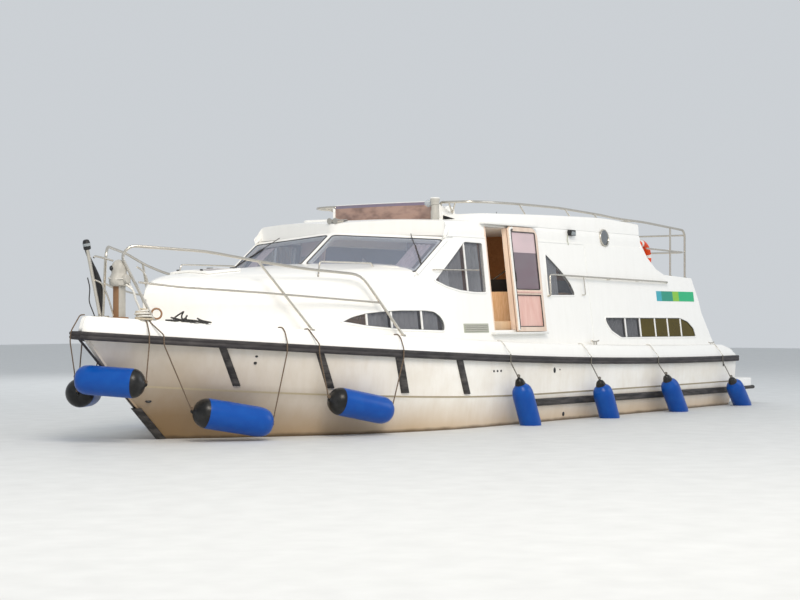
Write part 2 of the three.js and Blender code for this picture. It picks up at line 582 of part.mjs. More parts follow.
function doorPane(from) {
  const [x0, x1] = leafSpan(from);
  const outer = -DOOR_STANDOFF - DOOR_THICK + PANE_INSET;
  return sideForm(outer).subtract(sideForm(outer + GLASS))
    .intersect(block(x0 + DOOR_STILE + GAP, x1 - DOOR_STILE - GAP, 0, FAR, DOOR_WAIST_Z + 60 + GAP,
      LEAF_HIGH_Z - DOOR_STILE - GAP));
}

function swimPlatform() {
  const half = 1880;
  const corner = 220;
  const shape = new THREE.Shape();
  shape.moveTo(-6350, -half).lineTo(-6350, half).lineTo(-7450 + corner, half);
  shape.absarc(-7450 + corner, half - corner, corner, Math.PI / 2, Math.PI);
  shape.lineTo(-7450, -half + corner);
  shape.absarc(-7450 + corner, -half + corner, corner, Math.PI, Math.PI * 1.5);
  const slab = solid(new THREE.ExtrudeGeometry(shape, { depth: 150, bevelEnabled: false, curveSegments: 6 })
    .translate(0, 0, 290));
  const knees = [-1200, 0, 1200].map((y) => sidePrism(
    [[-6350, 60], [-6350, 300], [-7150, 300], [-7150, 260]], y - 25, y + 25));
  return union([slab, ...knees]).subtract(hullForm(GAP, 300)).intersect(cabinBox(-FAR, TRANSOM_X + 120, -FAR, FAR));
}

function propeller() {
  const { x, z, radius, shaft } = PROPELLER;
  const hub = rod([x + 60, 0, z], [x - 90, 0, z], 42, 16, 30);
  const stub = rod([x + 60, 0, z], [-5300, 0, z], shaft, 16);
  const blades = [0, 1, 2, 3].map((i) => {
    const blade = new THREE.SphereGeometry(1, 10, 8).scale(9, 78, 92).translate(0, 0, radius - 92);
    return solid(blade.rotateZ(0.5).rotateX((i * Math.PI) / 2).translate(x - 15, 0, z));
  });
  return union([hub, stub, ...blades]);
}

function rudder() {
  const { x, stock, top, pintle } = RUDDER;
  const blade = sidePrism([[x + 130, -690], [x + 110, -350], [x - 290, -330], [x - 330, -690]], -20, 20);
  const post = rod([x, 0, -700], [x, 0, top], stock, 16);
  const foot = rod([x, 0, -690], [x, 0, SKEG_Z + 12.5], pintle, 16);
  return union([blade, post, foot]);
}

function saloonSole() {
  return hullForm(-HULL_WALL - GAP, 400).intersect(cabinBox(-1640, 2540, SOLE_Z - 40, SOLE_Z));
}

// Steering wheels: centre, tilt of the shaft below level, radius of the ring, length of the shaft.
const HELM_WHEEL = { at: [2010, -860, 1800], tilt: 0.42, ring: 190, stub: 96 };
const FLY_WHEEL = { at: [405, 250, 3075], tilt: 0.3, ring: 120, stub: 60 };

// The edge of a console's face, square to the shaft at its end: from above the shaft to below it.
function consoleFace({ at: [x, , z], tilt, stub }, above, below) {
  const reach = stub + GAP + 0.2;
  const [ex, ez] = [x + reach * Math.cos(tilt), z - reach * Math.sin(tilt)];
  return [above, -below].map((t) => [ex + t * Math.sin(tilt), ez + t * Math.cos(tilt)]);
}

function helmConsole() {
  const upper = sideForm(CABIN_WALL + GAP).subtract(belowDeck);
  const bulkhead = upper.add(sideForm(DECK_LEDGE + GAP)).intersect(trunkTop(CABIN_WALL + GAP))
    .intersect(cabinBox(TRUNK_AFT_X - 50, TRUNK_AFT_X - GAP, SOLE_Z + GAP, FAR));
  const passage = block(2500, 2650, 120, 760, 0, 1980);
  const desk = sidePrism([[2570, SOLE_Z + GAP], [2570, 2020], [2330, 2040], ...consoleFace(HELM_WHEEL, 90, 150),
    [2180, 1500], [2180, SOLE_Z + GAP]], -1480, -250);
  return bulkhead.subtract(passage).add(desk);
}

function steeringWheel({ at: [x, y, z], tilt, ring, stub }) {
  const rim = new THREE.TorusGeometry(ring, 14, 8, 28).rotateY(Math.PI / 2);
  const hub = new THREE.CylinderGeometry(34, 34, 40, 12).rotateZ(Math.PI / 2);
  const shaft = new THREE.CylinderGeometry(14, 14, stub, 12).rotateZ(Math.PI / 2).translate(stub / 2, 0, 0);
  const spokes = [0, 1, 2].map((i) => new THREE.CylinderGeometry(8, 8, ring, 8).translate(0, ring / 2, 0)
    .rotateX((i * Math.PI * 2) / 3));
  return union([rim, hub, shaft, ...spokes].map((g) => solid(g.rotateY(tilt).translate(x, y, z))));
}

function flyScreen() {
  const bow = 70;
  const shape = new THREE.Shape();
  const half = WING_INNER_Y - GAP;
  const front = 1200;
  shape.moveTo(front - bow, -half).quadraticCurveTo(front + bow, 0, front - bow, half);
  shape.lineTo(front - bow - 12, half).quadraticCurveTo(front + bow - 12, 0, front - bow - 12, -half);
  return solid(new THREE.ExtrudeGeometry(shape, { depth: 290, bevelEnabled: false, curveSegments: 10 })
    .translate(0, 0, 2880)).subtract(roofOutside().translate([0, 0, GAP]));
}

// Rails. Feet stand on the deck or the coaming and are cut to them.
const RAIL_R = 14;

function bowRail() {
  const foot = (x, y) => [x, y, deckTop(x) - 30];
  const top = tube([foot(6440, 430), [6690, 130, 2250], [6600, 190, 2372], [5790, 670, 2350], [5110, 1000, 2200],
    [4530, 1240, 2120], [3800, 1560, 2058], foot(3180, 1785)], RAIL_R, { bend: 150 });
  const middle = tube([[6560, 292, 1932], [6170, 530, 1880], [5170, 1090, 1812], [3530, 1657, 1700]], RAIL_R - 3,
    { bend: 60 });
  const post = tube([[5160, 985, 2208], foot(4560, 1370)], RAIL_R);
  return union([top, middle, post]).subtract(belowDeck);
}

function sideHandrail() {
  const wall = (z) => cabinSide(0, z);
  const out = 55;
  const y = (z) => wall(z) + out;
  const rail = tube([[-470, wall(1820) - 20, 1815], [-470, y(1830), 1840], [-500, y(2135), 2140],
    [-4230, y(2085), 2085], [-4290, wall(2080) - 20, 2075]], 12, { bend: 60, sides: 6 });
  const feet = [[-1490, 1850], [-2300, 2096], [-3240, 2090]].map(([x, z]) => tube(
    [...(z < 2000 ? [[x, y(2125), 2125]] : []), [x, y(z), z], [x, wall(z) - 20, z - 2]], 9, { bend: 20, sides: 6 }));
  return union([rail, ...feet]).subtract(sideForm(-GAP));
}

// Upper rail of one side: along the coaming, down its aft end, and round the aft deck to the gate.
function upperRail() {
  const y = 1520;
  const yAft = 1660;
  const gate = 420;
  const aftX = -5130;
  const deck = 2100;
  const top = tube([[1100, 948, 3090], [1100, 952, 3150], [1085, 1130, 3150], [1000, 1400, 3150], [700, y, 3152],
    [-90, y, 3165], [-1200, y, 3165], [-2500, y, 3117], [-2850, y + 40, 3085], [-3150, y + 70, 3070],
    [ROOF_AFT_X - 150, yAft - 10, 3050], [aftX + 70, yAft, 2975], [aftX, yAft, 2900], [aftX, yAft, deck]],
  RAIL_R, { bend: 150 });
  const bar = (...points) => tube(points, RAIL_R - 2, { bend: 150 });
  const posts = [[-90, 3163], [-1410, 3157], [-2280, 3125]].map(([x, z]) => bar([x, y, z], [x - 70, 1600, 2990]));
  const struts = [[1088, 1080], [1070, 1180]].map(([x, side]) => bar([x, side, 3150], [800, 946, 3005]));
  const aft = [
    bar([-4600, yAft, 2998], [-4600, yAft, deck]),
    bar([-3760, yAft, 2628], [aftX, yAft, 2600], [aftX, gate, 2600]),
    bar([aftX, yAft, 2890], [aftX, gate, 2890]),
    bar([aftX, gate, 2890 + RAIL_R], [aftX, gate, deck]),
    bar([ROOF_AFT_X + 40, 1622, 3058], [ROOF_AFT_X + 40, 660, 3065], [-3950, 660, 3000], [-4130, 660, 2800],
      [-4130, 660, deck]),
  ];
  const below = sidePrism([[ROOF_AFT_X, 2000], [ROOF_AFT_X, aftDeckZ(ROOF_AFT_X) + GAP], [AFT_DECK[1][0],
    aftDeckZ(AFT_DECK[1][0]) + GAP], [AFT_DECK[1][0], 2000]], -FAR, FAR);
  return union([top, ...posts, ...struts, ...aft]).subtract(union([below, underCoaming(GAP), flyWing(GAP)]));
}

// A fender between its two eyes: a round body with tapered ends.
function fenderBody(from, to, radius) {
  const length = vector(from).distanceTo(vector(to));
  // radius as a share of the body's, place as a share of the length
  const profile = [[0.13, 0], [0.15, 0.03], [0.6, 0.07], [0.9, 0.13], [1, 0.21], [1, 0.79], [0.9, 0.87],
    [0.6, 0.93], [0.15, 0.97], [0.13, 1]];
  const points = [[0, 0], ...profile, [0, 1]].map(([r, t]) => new THREE.Vector2(r * radius, t * length));
  const turn = new THREE.Quaternion().setFromUnitVectors(
    new THREE.Vector3(0, 1, 0), vector(to).sub(vector(from)).normalize());
  return solid(new THREE.LatheGeometry(points, 14).applyQuaternion(turn).translate(...from));
}

// A fender line from an eye, up outside the rub rail and over the edge of the deck at x.
function fenderLine(eye, x, thick = 8) {
  const side = eye[1] < 0 ? -1 : 1;
  const near = THREE.MathUtils.lerp(x, eye[0], 0.2);
  const shoulder = DECK_SLOPE * SHOULDER[1];
  const inner = Math.max(deckEdge(x, DECK_SLOPE) - 60, cabinSide(x, deckTop(x)) + thick + 10);
  const outside = waterline(near, STEM_HEAD_X + 1.49 * RUB_RAIL, DECK_HALF + RUB_RAIL) + thick + 1;
  const route = [
    [x, inner, deckTop(x) + thick - 1], [x, deckEdge(x, DECK_SLOPE), deckTop(x) + thick + 6],
    [x, deckEdge(x, shoulder) + thick + 4, railTop(x) + DECK_HEIGHT * SHOULDER[0] + thick],
    [near, outside, railTop(near) + 12], [near, outside, railTop(near) - 104],
  ].map(([px, py, pz]) => [px, side * py, pz]);
  return tube([...route, eye], thick, { sides: 6, bend: 12 });
}

const besideHull = [deckForm(GAP), hullForm(GAP, 50), stemGuard(GAP),
  hullForm(RUB_RAIL + GAP, 100).intersect(sheerSlab(-101, GAP))];
const clearOfHull = (made) => besideHull.reduce((rest, form) => rest.subtract(form), made);

// Fenders on their lines: name, the two eyes, radius, x where each line crosses the deck edge.
const FENDERS = [
  ['bow_port', [6150, 785, 382], [5235, 1278, 199], 185, [6520, 4985]],
  ['side_port', [4510, 1592, 487], [3600, 1892, 295], 178, [4640, 3290]],
  ['hung_1_port', [1075, 2240, 668], [700, 2242, -110], 150, [1110]],
  ['hung_2_port', [-1190, 2240, 575], [-1560, 2242, -105], 150, [-1130]],
  ['hung_3_port', [-3330, 2236, 592], [-3870, 2232, -100], 150, [-3290]],
  ['hung_4_port', [-5800, 2190, 478], [-6390, 2170, -95], 150, [-5750]],
  ['bow_starboard', [6985, -300, 600], [6225, -872, 575], 178, [6900, 6000]],
  ['side_starboard', [4510, -1592, 487], [3600, -1892, 295], 178, [4640, 3290]],
  ['hung_1_starboard', [1075, -2240, 668], [700, -2242, -110], 150, [1110]],
  ['hung_2_starboard', [-1190, -2240, 575], [-1560, -2242, -105], 150, [-1130]],
  ['hung_3_starboard', [-3330, -2236, 592], [-3870, -2232, -100], 150, [-3290]],
  ['hung_4_starboard', [-5800, -2190, 478], [-6390, -2170, -95], 150, [-5750]],
];

// The fender slung across the stem; its far line comes off the stem head.
function stemFender() {
  const eyes = [[7120, -200, 775], [6752, 598, 716]];
  const head = [[7150, -20, deckTop(7150) + 9], [7215, -26, deckTop(7215) + 6], [7325, -60, 1352],
    [7325, -80, 1230]];
  return union([fenderBody(...eyes, 178), fenderLine(eyes[1], 6560),
    tube([...head, eyes[0]], 8, { sides: 6, bend: 12 })]);
}

function bowMast() {
  const mast = rod([6905, 0, 1440], [7128, 0, 2330], 22, 10);
  const lamp = rod([7122, 0, 2310], [7150, 0, 2430], 46, 10);
  const plate = block(6830, 6990, -80, 80, 1440, deckTop(6990) + 22);
  const anchor = [rod([6960, -70, 1480], [7075, -60, 2130], 30, 8), rod([6985, -190, 1690], [6985, 60, 1690], 26, 8)];
  return union([mast, lamp, plate, ...anchor]).subtract(belowDeck);
}

function bowWinch() {
  const x = 6690;
  const y = 60;
  const post = block(x - 60, x + 60, y - 60, y + 60, 1400, 1880);
  const drum = solid(new THREE.CylinderGeometry(112, 112, 150, 14).translate(x, y, 1965));
  const cheeks = solid(new THREE.CylinderGeometry(70, 70, 100, 12).translate(x, y, 2080));
  return union([post, drum, cheeks]).subtract(belowDeck);
}

function galleyUnit() {
  const z = SOLE_Z + GAP;
  return block(-1560, 300, 980, 1660, z, 1880).subtract(block(-1561, 301, 979, 1020, z - 1, z + 90));
}

// The bench ends aft of the starboard doorway.
function saloonBench() {
  const z = SOLE_Z + GAP;
  const fore = DOOR_BACK_X - 80;
  const seat = block(-1500, fore, -1660, -1050, z, 1130);
  const back = block(-1500, fore, -1660, -1540, z, 1560);
  return seat.add(back);
}

function flyConsole() {
  const body = sidePrism([[850, 2850], [850, 3030], [640, 3130], ...consoleFace(FLY_WHEEL, 62, 200)], -260, 760);
  return body.subtract(roofOutside().translate([0, 0, GAP]));
}

function flySeat() {
  const seat = sidePrism([[-900, 2850], [-900, 3040], [-450, 3040], [-450, 2850]], -700, 700);
  return seat.subtract(roofOutside().translate([0, 0, GAP]));
}

function lifebuoy() {
  const ring = new THREE.TorusGeometry(230, 60, 10, 28).rotateX(Math.PI / 2);
  return solid(ring.translate(-3830, 1530, 2190 + GAP + 290));
}

const root = new THREE.Group();
root.name = 'canal_cruiser';

// Finishes: colour, roughness, metalness.
const FINISHES = {
  gelcoat: ['#f7f6f1', 0.3, 0],
  hull_gelcoat: ['#e9ddcb', 0.35, 0],
  rubber: ['#35322f', 0.8, 0],
  tinted_glass: ['#4f5560', 0.08, 0],
  smoked_acrylic: ['#8a6a66', 0.15, 0],
  door_frame: ['#f5e6d8', 0.4, 0],
  stainless: ['#c9ccce', 0.25, 1],
  bronze: ['#a8793f', 0.4, 1],
  steel: ['#5c5f62', 0.5, 0.6],
  timber: ['#8a5b34', 0.6, 0],
  fender_vinyl: ['#0b5fd0', 0.4, 0],
  upholstery: ['#b9a48d', 0.9, 0],
  buoy: ['#e8603c', 0.6, 0],
};
const materials = Object.fromEntries(Object.entries(FINISHES).map(([name, [color, roughness, metalness]]) => [
  name, new THREE.MeshStandardMaterial({ name, color, roughness, metalness }),
]));

function add(name, made, finish) {
  const { vertProperties, triVerts } = made.getMesh();
  const geometry = new THREE.BufferGeometry();
  geometry.setAttribute('position', new THREE.BufferAttribute(vertProperties, 3));
  geometry.setIndex(new THREE.BufferAttribute(triVerts, 1));
  const mesh = new THREE.Mesh(geometry, materials[finish]);
  mesh.name = name;
  root.add(mesh);
}

function addPair(name, port, finish) {
  add(`${name}_port`, port, finish);
  add(`${name}_starboard`, flip(port), finish);
}

add('hull_shell', hullShell(), 'hull_gelcoat');
add('rub_rail', rubRail(), 'rubber');
addPair('lower_rail', lowerRail(), 'rubber');
add('deck_moulding', deckMoulding(), 'gelcoat');
add('swim_platform', swimPlatform(), 'gelcoat');
add('engine_block', block(-3250, -2250, -340, 340, CABIN_FLOOR_Z + GAP, 420), 'steel');
add('propeller', propeller(), 'bronze');
add('rudder', rudder(), 'steel');
add('fore_trunk', foreTrunk(), 'gelcoat');
add('foredeck_hatch', foredeckHatch(), 'gelcoat');
add('wheelhouse', wheelhouse(), 'gelcoat');
add('roof_moulding', roofMoulding(), 'gelcoat');
const aftSuperstructure = aftCabin();
add('aft_cabin', aftSuperstructure.intersect(cabinBox(ROOF_AFT_X, FAR, 0, FAR)), 'gelcoat');
add('aft_deck', aftSuperstructure.intersect(cabinBox(-FAR, ROOF_AFT_X - GAP, 0, FAR)), 'gelcoat');
addPair('windscreen', windscreenPane(), 'tinted_glass');
for (const [name, opening] of Object.entries(WINDOWS)) {
  addPair(`${name}_window`, windowPane(opening), 'tinted_glass');
}
add('door_port', doorLeaf(DOOR_LEAF_FROM), 'door_frame');
add('door_glass_port', doorPane(DOOR_LEAF_FROM), 'tinted_glass');
add('door_starboard', flip(doorLeaf(DOOR_LEAF_FROM + DOOR_TRAVEL)), 'door_frame');
add('door_glass_starboard', flip(doorPane(DOOR_LEAF_FROM + DOOR_TRAVEL)), 'tinted_glass');
add('saloon_sole', saloonSole(), 'timber');
add('helm_console', helmConsole(), 'timber');
add('helm_wheel', steeringWheel(HELM_WHEEL), 'rubber');
add('galley_unit', galleyUnit(), 'timber');
add('saloon_bench', saloonBench(), 'upholstery');
add('fly_screen', flyScreen(), 'smoked_acrylic');
add('fly_console', flyConsole(), 'gelcoat');
add('fly_wheel', steeringWheel(FLY_WHEEL), 'rubber');
add('fly_seat', flySeat(), 'upholstery');
addPair('upper_rail', upperRail(), 'stainless');
add('lifebuoy', lifebuoy(), 'buoy');
addPair('bow_rail', bowRail(), 'stainless');
addPair('side_handrail', sideHandrail(), 'stainless');
add('bow_mast', bowMast(), 'stainless');
add('bow_winch', bowWinch(), 'timber');
add('fender_stem', clearOfHull(stemFender()), 'fender_vinyl');
for (const [name, from, to, radius, lines] of FENDERS) {
  const eyes = [from, to];
  const hung = union([fenderBody(from, to, radius), ...lines.map((x, i) => fenderLine(eyes[i], x))]);
  add(`fender_${name}`, clearOfHull(hung), 'fender_vinyl');
}

export default root;
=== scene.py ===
import math

import bmesh
import bpy
import numpy as np
from bpy.props import FloatProperty, FloatVectorProperty, PointerProperty
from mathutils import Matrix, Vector, geometry


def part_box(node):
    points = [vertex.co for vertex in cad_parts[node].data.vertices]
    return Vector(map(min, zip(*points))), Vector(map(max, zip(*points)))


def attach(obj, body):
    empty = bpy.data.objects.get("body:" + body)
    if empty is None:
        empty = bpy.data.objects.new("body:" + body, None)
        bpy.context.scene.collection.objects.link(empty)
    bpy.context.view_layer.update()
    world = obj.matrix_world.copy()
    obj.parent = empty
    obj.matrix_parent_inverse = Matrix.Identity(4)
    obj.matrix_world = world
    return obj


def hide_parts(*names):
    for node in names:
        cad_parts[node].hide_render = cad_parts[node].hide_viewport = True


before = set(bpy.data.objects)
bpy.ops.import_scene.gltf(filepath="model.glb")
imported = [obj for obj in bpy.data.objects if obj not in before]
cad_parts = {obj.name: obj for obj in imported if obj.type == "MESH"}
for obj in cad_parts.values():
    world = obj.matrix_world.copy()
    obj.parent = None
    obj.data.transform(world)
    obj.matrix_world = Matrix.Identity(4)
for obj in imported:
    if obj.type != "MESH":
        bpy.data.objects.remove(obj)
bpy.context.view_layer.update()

bl_info = {
    "name": "Canal Cruiser",
    "version": (1, 0, 0),
    "blender": (4, 5, 0),
    "location": "3D Viewport > Sidebar > Houseboat",
    "description": "A canal cruiser houseboat, built piece by piece round its packed frame",
    "category": "Object",
}

BODY = "hull"
SIDES = (("port", 1), ("starboard", -1))

# Hull form, in metres, as in the frame
TRANSOM_X = -6.5
RAIL_AFT_Z = .855
RAIL_RISE = .49
RAIL_LENGTH = 13.75
STEM_HEAD_X = 7.24
STEM_HALF = .03
FULL_BEAM_X = 1.5
BEAM_HALF = 2.06
DECK_HEIGHT = .19
SIDE_HALF = 1.857
TRUNK_NOSE_X = 6.18
ROOF_EDGE_Z = 2.62
ROOF_AFT_X = -3.53
WHEELHOUSE_AFT_X = -1.7
CURTAINED_FROM_X = -3.222  # the bar between the curtained aft panes and the open ones
THREAD = .0011  # from one thread of the curtains' and cushions' cloth to the next
TURN_STEP = .22  # turn between the points of a rounded corner, in radians
LEAST_SPAN = 2.2  # a side is at least so many times as long as the rounding of its corner
KNUCKLE_Z, KNUCKLE_RISE, KNUCKLE_LENGTH = .41, .28, 6.6
SIDE_FOOT_Z, SIDE_LEAN = 1.19, .12
# Half breadth and the height that sets the stem, from the rail's top down to the keel
HULL_HALVES = np.array([2.06, 2.035, 2.012, 1.95, 1.83, .7, .09])
HULL_LEVELS = np.array([1.23, .702, .678, 0, -.28, -.5, -.56])


def linear(colour):
    """An sRGB hex colour as linear red, green and blue."""
    parts = np.array([int(colour[i:i + 2], 16) for i in (1, 3, 5)]) / 255
    return tuple(np.where(parts <= .04045, parts / 12.92, ((parts + .055) / 1.055) ** 2.4).tolist())


def lerp(a, b, t):
    return a + (b - a) * t


def quadratic(start, corner, end, t):
    return (1 - t) ** 2 * start + 2 * t * (1 - t) * corner + t ** 2 * end


def rail_top(x):
    """Height of the rub rail's top: it rises with the 2.2nd power of the way from transom to stem."""
    return RAIL_AFT_Z + RAIL_RISE * np.clip((np.asarray(x) - TRANSOM_X) / RAIL_LENGTH, 0, 1.1) ** 2.2


def deck_top(x):
    return rail_top(x) + DECK_HEIGHT


def knuckle_z(x):
    return KNUCKLE_Z + KNUCKLE_RISE * np.clip(np.asarray(x) / KNUCKLE_LENGTH, 0, 1) ** 2


def waterline(x, stem, half):
    """Half breadth: straight amidships, a parabola to the stem, drawn in by a twentieth aft."""
    x = np.asarray(x, float)
    bow = half * (1 - np.clip((x - FULL_BEAM_X) / (stem - FULL_BEAM_X), 0, 1) ** 2)
    aft = half * (1 - .05 * np.clip((-2 - x) / 4.5, 0, 1) ** 2)
    return np.where(x > FULL_BEAM_X, bow, aft)


def cabin_side(x, z, inset=0):
    """Half breadth of the cabin side: it leans in upwards and closes to the nose with the 2.4th power."""
    nose = TRUNK_NOSE_X - 1.6 * inset
    full = 1 - np.clip((np.asarray(x) - FULL_BEAM_X) / (nose - FULL_BEAM_X), 0, 1) ** 2.4
    return (SIDE_HALF - SIDE_LEAN * (np.asarray(z) - SIDE_FOOT_Z) - inset) * full


def smooth_curve(x, xs, ys):
    """A cubic through the points (xs, ys), its slopes taken from their neighbours."""
    xs, ys = np.asarray(xs, float), np.asarray(ys, float)
    slope = np.gradient(ys, xs)
    i = np.clip(np.searchsorted(xs, x) - 1, 0, len(xs) - 2)
    h = xs[i + 1] - xs[i]
    t = np.clip((x - xs[i]) / h, 0, 1)
    return ((2 * t ** 3 - 3 * t ** 2 + 1) * ys[i] + (t ** 3 - 2 * t ** 2 + t) * h * slope[i]
            + (3 * t ** 2 - 2 * t ** 3) * ys[i + 1] + (t ** 3 - t ** 2) * h * slope[i + 1])


class Shape:
    """Surfaces gathered into one mesh, each with the place of its material."""

    def __init__(self):
        self.points, self.faces, self.finishes, self.count = [], [], [], 0

    def add(self, points, faces, finish=0):
        points = np.asarray(points, float).reshape(-1, 3)
        for block in faces if isinstance(faces, tuple) else (faces,):
            block = np.asarray(block)
            self.faces += (block + self.count).tolist()
            self.finishes += [finish] * len(block)
        self.points.append(points)
        self.count += len(points)
        return self

    def grid(self, points, finish=0, around=False, caps=False):
        """A grid of points, rows by columns; around joins last column and first, caps close the ends."""
        rows, columns = points.shape[:2]
        index = np.arange(rows * columns).reshape(rows, columns)
        if around:
            index = np.hstack([index, index[:, :1]])
        quads = np.stack([index[:-1, :-1], index[:-1, 1:], index[1:, 1:], index[1:, :-1]], -1).reshape(-1, 4)
        flat = points.reshape(-1, 3)
        blocks = [quads]
        if caps:
            flat = np.vstack([flat, points[0].mean(0), points[-1].mean(0)])
            first, last, n = index[0], index[-1], rows * columns
            blocks.append(np.stack([np.full(len(first) - 1, n), first[1:], first[:-1]], -1))
            blocks.append(np.stack([np.full(len(last) - 1, n + 1), last[:-1], last[1:]], -1))
        return self.add(flat, tuple(blocks), finish)

    def solid(self, points, finish=0):
        """A closed grid: a tube, a turned shape or a block."""
        return self.grid(points, finish, around=True, caps=True)

    def mirror(self):
        """The same surfaces again on the other side of the boat."""
        points = np.vstack(self.points)
        faces, finishes = [f[::-1] for f in self.faces], list(self.finishes)
        shift = self.count
        self.points.append(points * (1, -1, 1))
        self.faces += [[i + shift for i in f] for f in faces]
        self.finishes += finishes
        self.count += shift


def frames(path):
    """Two directions across a path at each of its points, turned as little as possible along it."""
    way = np.gradient(path, axis=0)
    way /= np.linalg.norm(way, axis=1, keepdims=True)
    up = np.array([0, .6, .8]) if abs(way[0] @ (0, .6, .8)) < .9 else np.array([1., 0, 0])
    ups = []
    for along in way:
        up = up - along * (up @ along)
        up /= np.linalg.norm(up)
        ups.append(up)
    ups = np.array(ups)
    return ups, np.cross(way, ups)


def tube(path, radius, sides=14):
    """A circle of the given radius, or radii, carried along a path."""
    path = np.asarray(path, float)
    up, across = frames(path)
    angle = np.arange(sides) * 2 * np.pi / sides
    radius = np.broadcast_to(radius, len(path))[:, None, None]
    ring = up[:, None] * np.cos(angle)[None, :, None] + across[:, None] * np.sin(angle)[None, :, None]
    return path[:, None] + ring * radius


def round_corner(before, corner, after, bend, count=0):
    """The quadratic curve that cuts a corner: a point for each step of turn, or as many as are asked for."""
    a, b = before - corner, after - corner
    cut = min(bend, np.linalg.norm(a) / LEAST_SPAN, np.linalg.norm(b) / LEAST_SPAN)
    a, b = a / np.linalg.norm(a), b / np.linalg.norm(b)
    turn = math.pi - math.acos(np.clip(a @ b, -1, 1))
    t = np.linspace(0, 1, count or max(3, math.ceil(turn / TURN_STEP) + 1))[:, None]
    return quadratic(corner + a * cut, corner, corner + b * cut, t)


def rounded(points, bend):
    """A path along straight runs with rounded corners."""
    points = np.asarray(points, float)
    corners = [round_corner(*three, bend) for three in zip(points, points[1:], points[2:])]
    path = np.vstack([points[:1], *corners, points[-1:]])
    keep = [path[0]]
    for p in path[1:]:
        if np.linalg.norm(p - keep[-1]) > 1e-4:
            keep.append(p)
    return np.array(keep)


def circle(axis, count):
    """Directions square to an axis, all round it."""
    up = np.cross(axis, (0, 0, 1) if abs(axis[2]) < .9 else (1, 0, 0))
    up /= np.linalg.norm(up)
    across = np.cross(axis, up)
    angle = np.arange(count) * 2 * np.pi / count
    return up * np.cos(angle)[:, None] + across * np.sin(angle)[:, None]


def lathe(start, end, profile, sides=32):
    """A profile of (share of the length, radius) turned about the line from start to end."""
    start, end = np.asarray(start, float), np.asarray(end, float)
    profile = np.asarray(profile, float)
    ring = circle((end - start) / np.linalg.norm(end - start), sides)
    return (start + (end - start) * profile[:, :1])[:, None] + ring[None] * profile[:, 1, None, None]


def ring_grid(centre, axis, radius, thick, around=48, sides=12):
    """A torus: a small circle carried round a large one about the axis."""
    axis = np.asarray(axis, float) / np.linalg.norm(axis)
    v = np.arange(sides) * 2 * np.pi / sides
    grid = (np.asarray(centre) + circle(axis, around)[:, None] * (radius + thick * np.cos(v))[None, :, None]
            + axis * (thick * np.sin(v))[None, :, None])
    return np.concatenate([grid, grid[:1]])


def box_grid(low, high, rounding=.012):
    """A block whose upright edges and rims are rounded: a rounded rectangle that draws in at its ends."""
    (x0, y0, z0), (x1, y1, z1) = low, high
    r = min(rounding, min(x1 - x0, y1 - y0, z1 - z0) / LEAST_SPAN)
    a = np.linspace(0, np.pi / 2, 4)
    corners = [(cx, cy, a + k * np.pi / 2) for k, (cx, cy) in
               enumerate([(x1 - r, y1 - r), (x0 + r, y1 - r), (x0 + r, y0 + r), (x1 - r, y0 + r)])]
    rows = [(z0, 0), *[(z0 + r * (1 - np.cos(t)), np.sin(t)) for t in a[1:]],
            *[(z1 - r * (1 - np.sin(t)), np.cos(t)) for t in a]]
    return np.array([np.vstack([np.stack([cx + r * np.cos(t) * share, cy + r * np.sin(t) * share, z + 0 * t],
                                         -1) for cx, cy, t in corners]) for z, share in rows])


def inside(points, loop):
    """Which points of a plane lie within a closed loop, by counting the edges that they pass."""
    a, b = loop, np.roll(loop, -1, 0)
    x, y = points[:, :1], points[:, 1:]
    crosses = (a[:, 1] > y) != (b[:, 1] > y)
    with np.errstate(divide="ignore", invalid="ignore"):
        at = a[:, 0] + (y - a[:, 1]) / (b[:, 1] - a[:, 1]) * (b[:, 0] - a[:, 0])
    return (crosses & (x < at)).sum(1) % 2 == 1


def dense(loop, step):
    """A closed loop with points added so that none are further apart than the step."""
    loop = np.asarray(loop, float)
    ends = np.roll(loop, -1, 0)
    parts = [lerp(a, b, np.arange(n)[:, None] / n) for a, b in zip(loop, ends)
             for n in [max(1, math.ceil(np.linalg.norm(b - a) / step))]]
    return np.vstack(parts)


def soft_corners(loop, radius):
    """A closed loop whose corners are rounded, with five points to each."""
    loop = np.asarray(loop, float)
    threes = zip(np.roll(loop, 1, 0), loop, np.roll(loop, -1, 0))
    return np.vstack([round_corner(*three, radius, 5) for three in threes])


def panel(outline, holes=(), step=.12):
    """A flat panel of two coordinates: its edges and a grid of points in it, as Delaunay triangles."""
    loops = [dense(loop, step) for loop in (outline, *holes)]
    rim = np.vstack(loops)
    low, high = loops[0].min(0), loops[0].max(0)
    xs, ys = np.meshgrid(np.arange(low[0], high[0], step), np.arange(low[1], high[1], step))
    grid = np.column_stack([xs.ravel(), ys.ravel()]) + step / 3
    grid = grid[inside(grid, loops[0])]
    for hole in loops[1:]:
        grid = grid[~inside(grid, hole)]
    far = np.sqrt(((grid[:, None] - rim[None]) ** 2).sum(-1)).min(1) > step * .7
    points = np.vstack([rim, grid[far]])
    edges, start = [], 0
    for loop in loops:
        ids = start + np.arange(len(loop))
        edges += np.stack([ids, np.roll(ids, -1)], -1).tolist()
        start += len(loop)
    made = geometry.delaunay_2d_cdt([Vector(p) for p in points], edges, [], 0, 1e-7)
    flat, faces = np.array([tuple(v) for v in made[0]]), np.array(made[2])
    middle = flat[faces].mean(1)
    keep = inside(middle, loops[0])
    for hole in loops[1:]:
        keep &= ~inside(middle, hole)
    return flat, faces[keep]


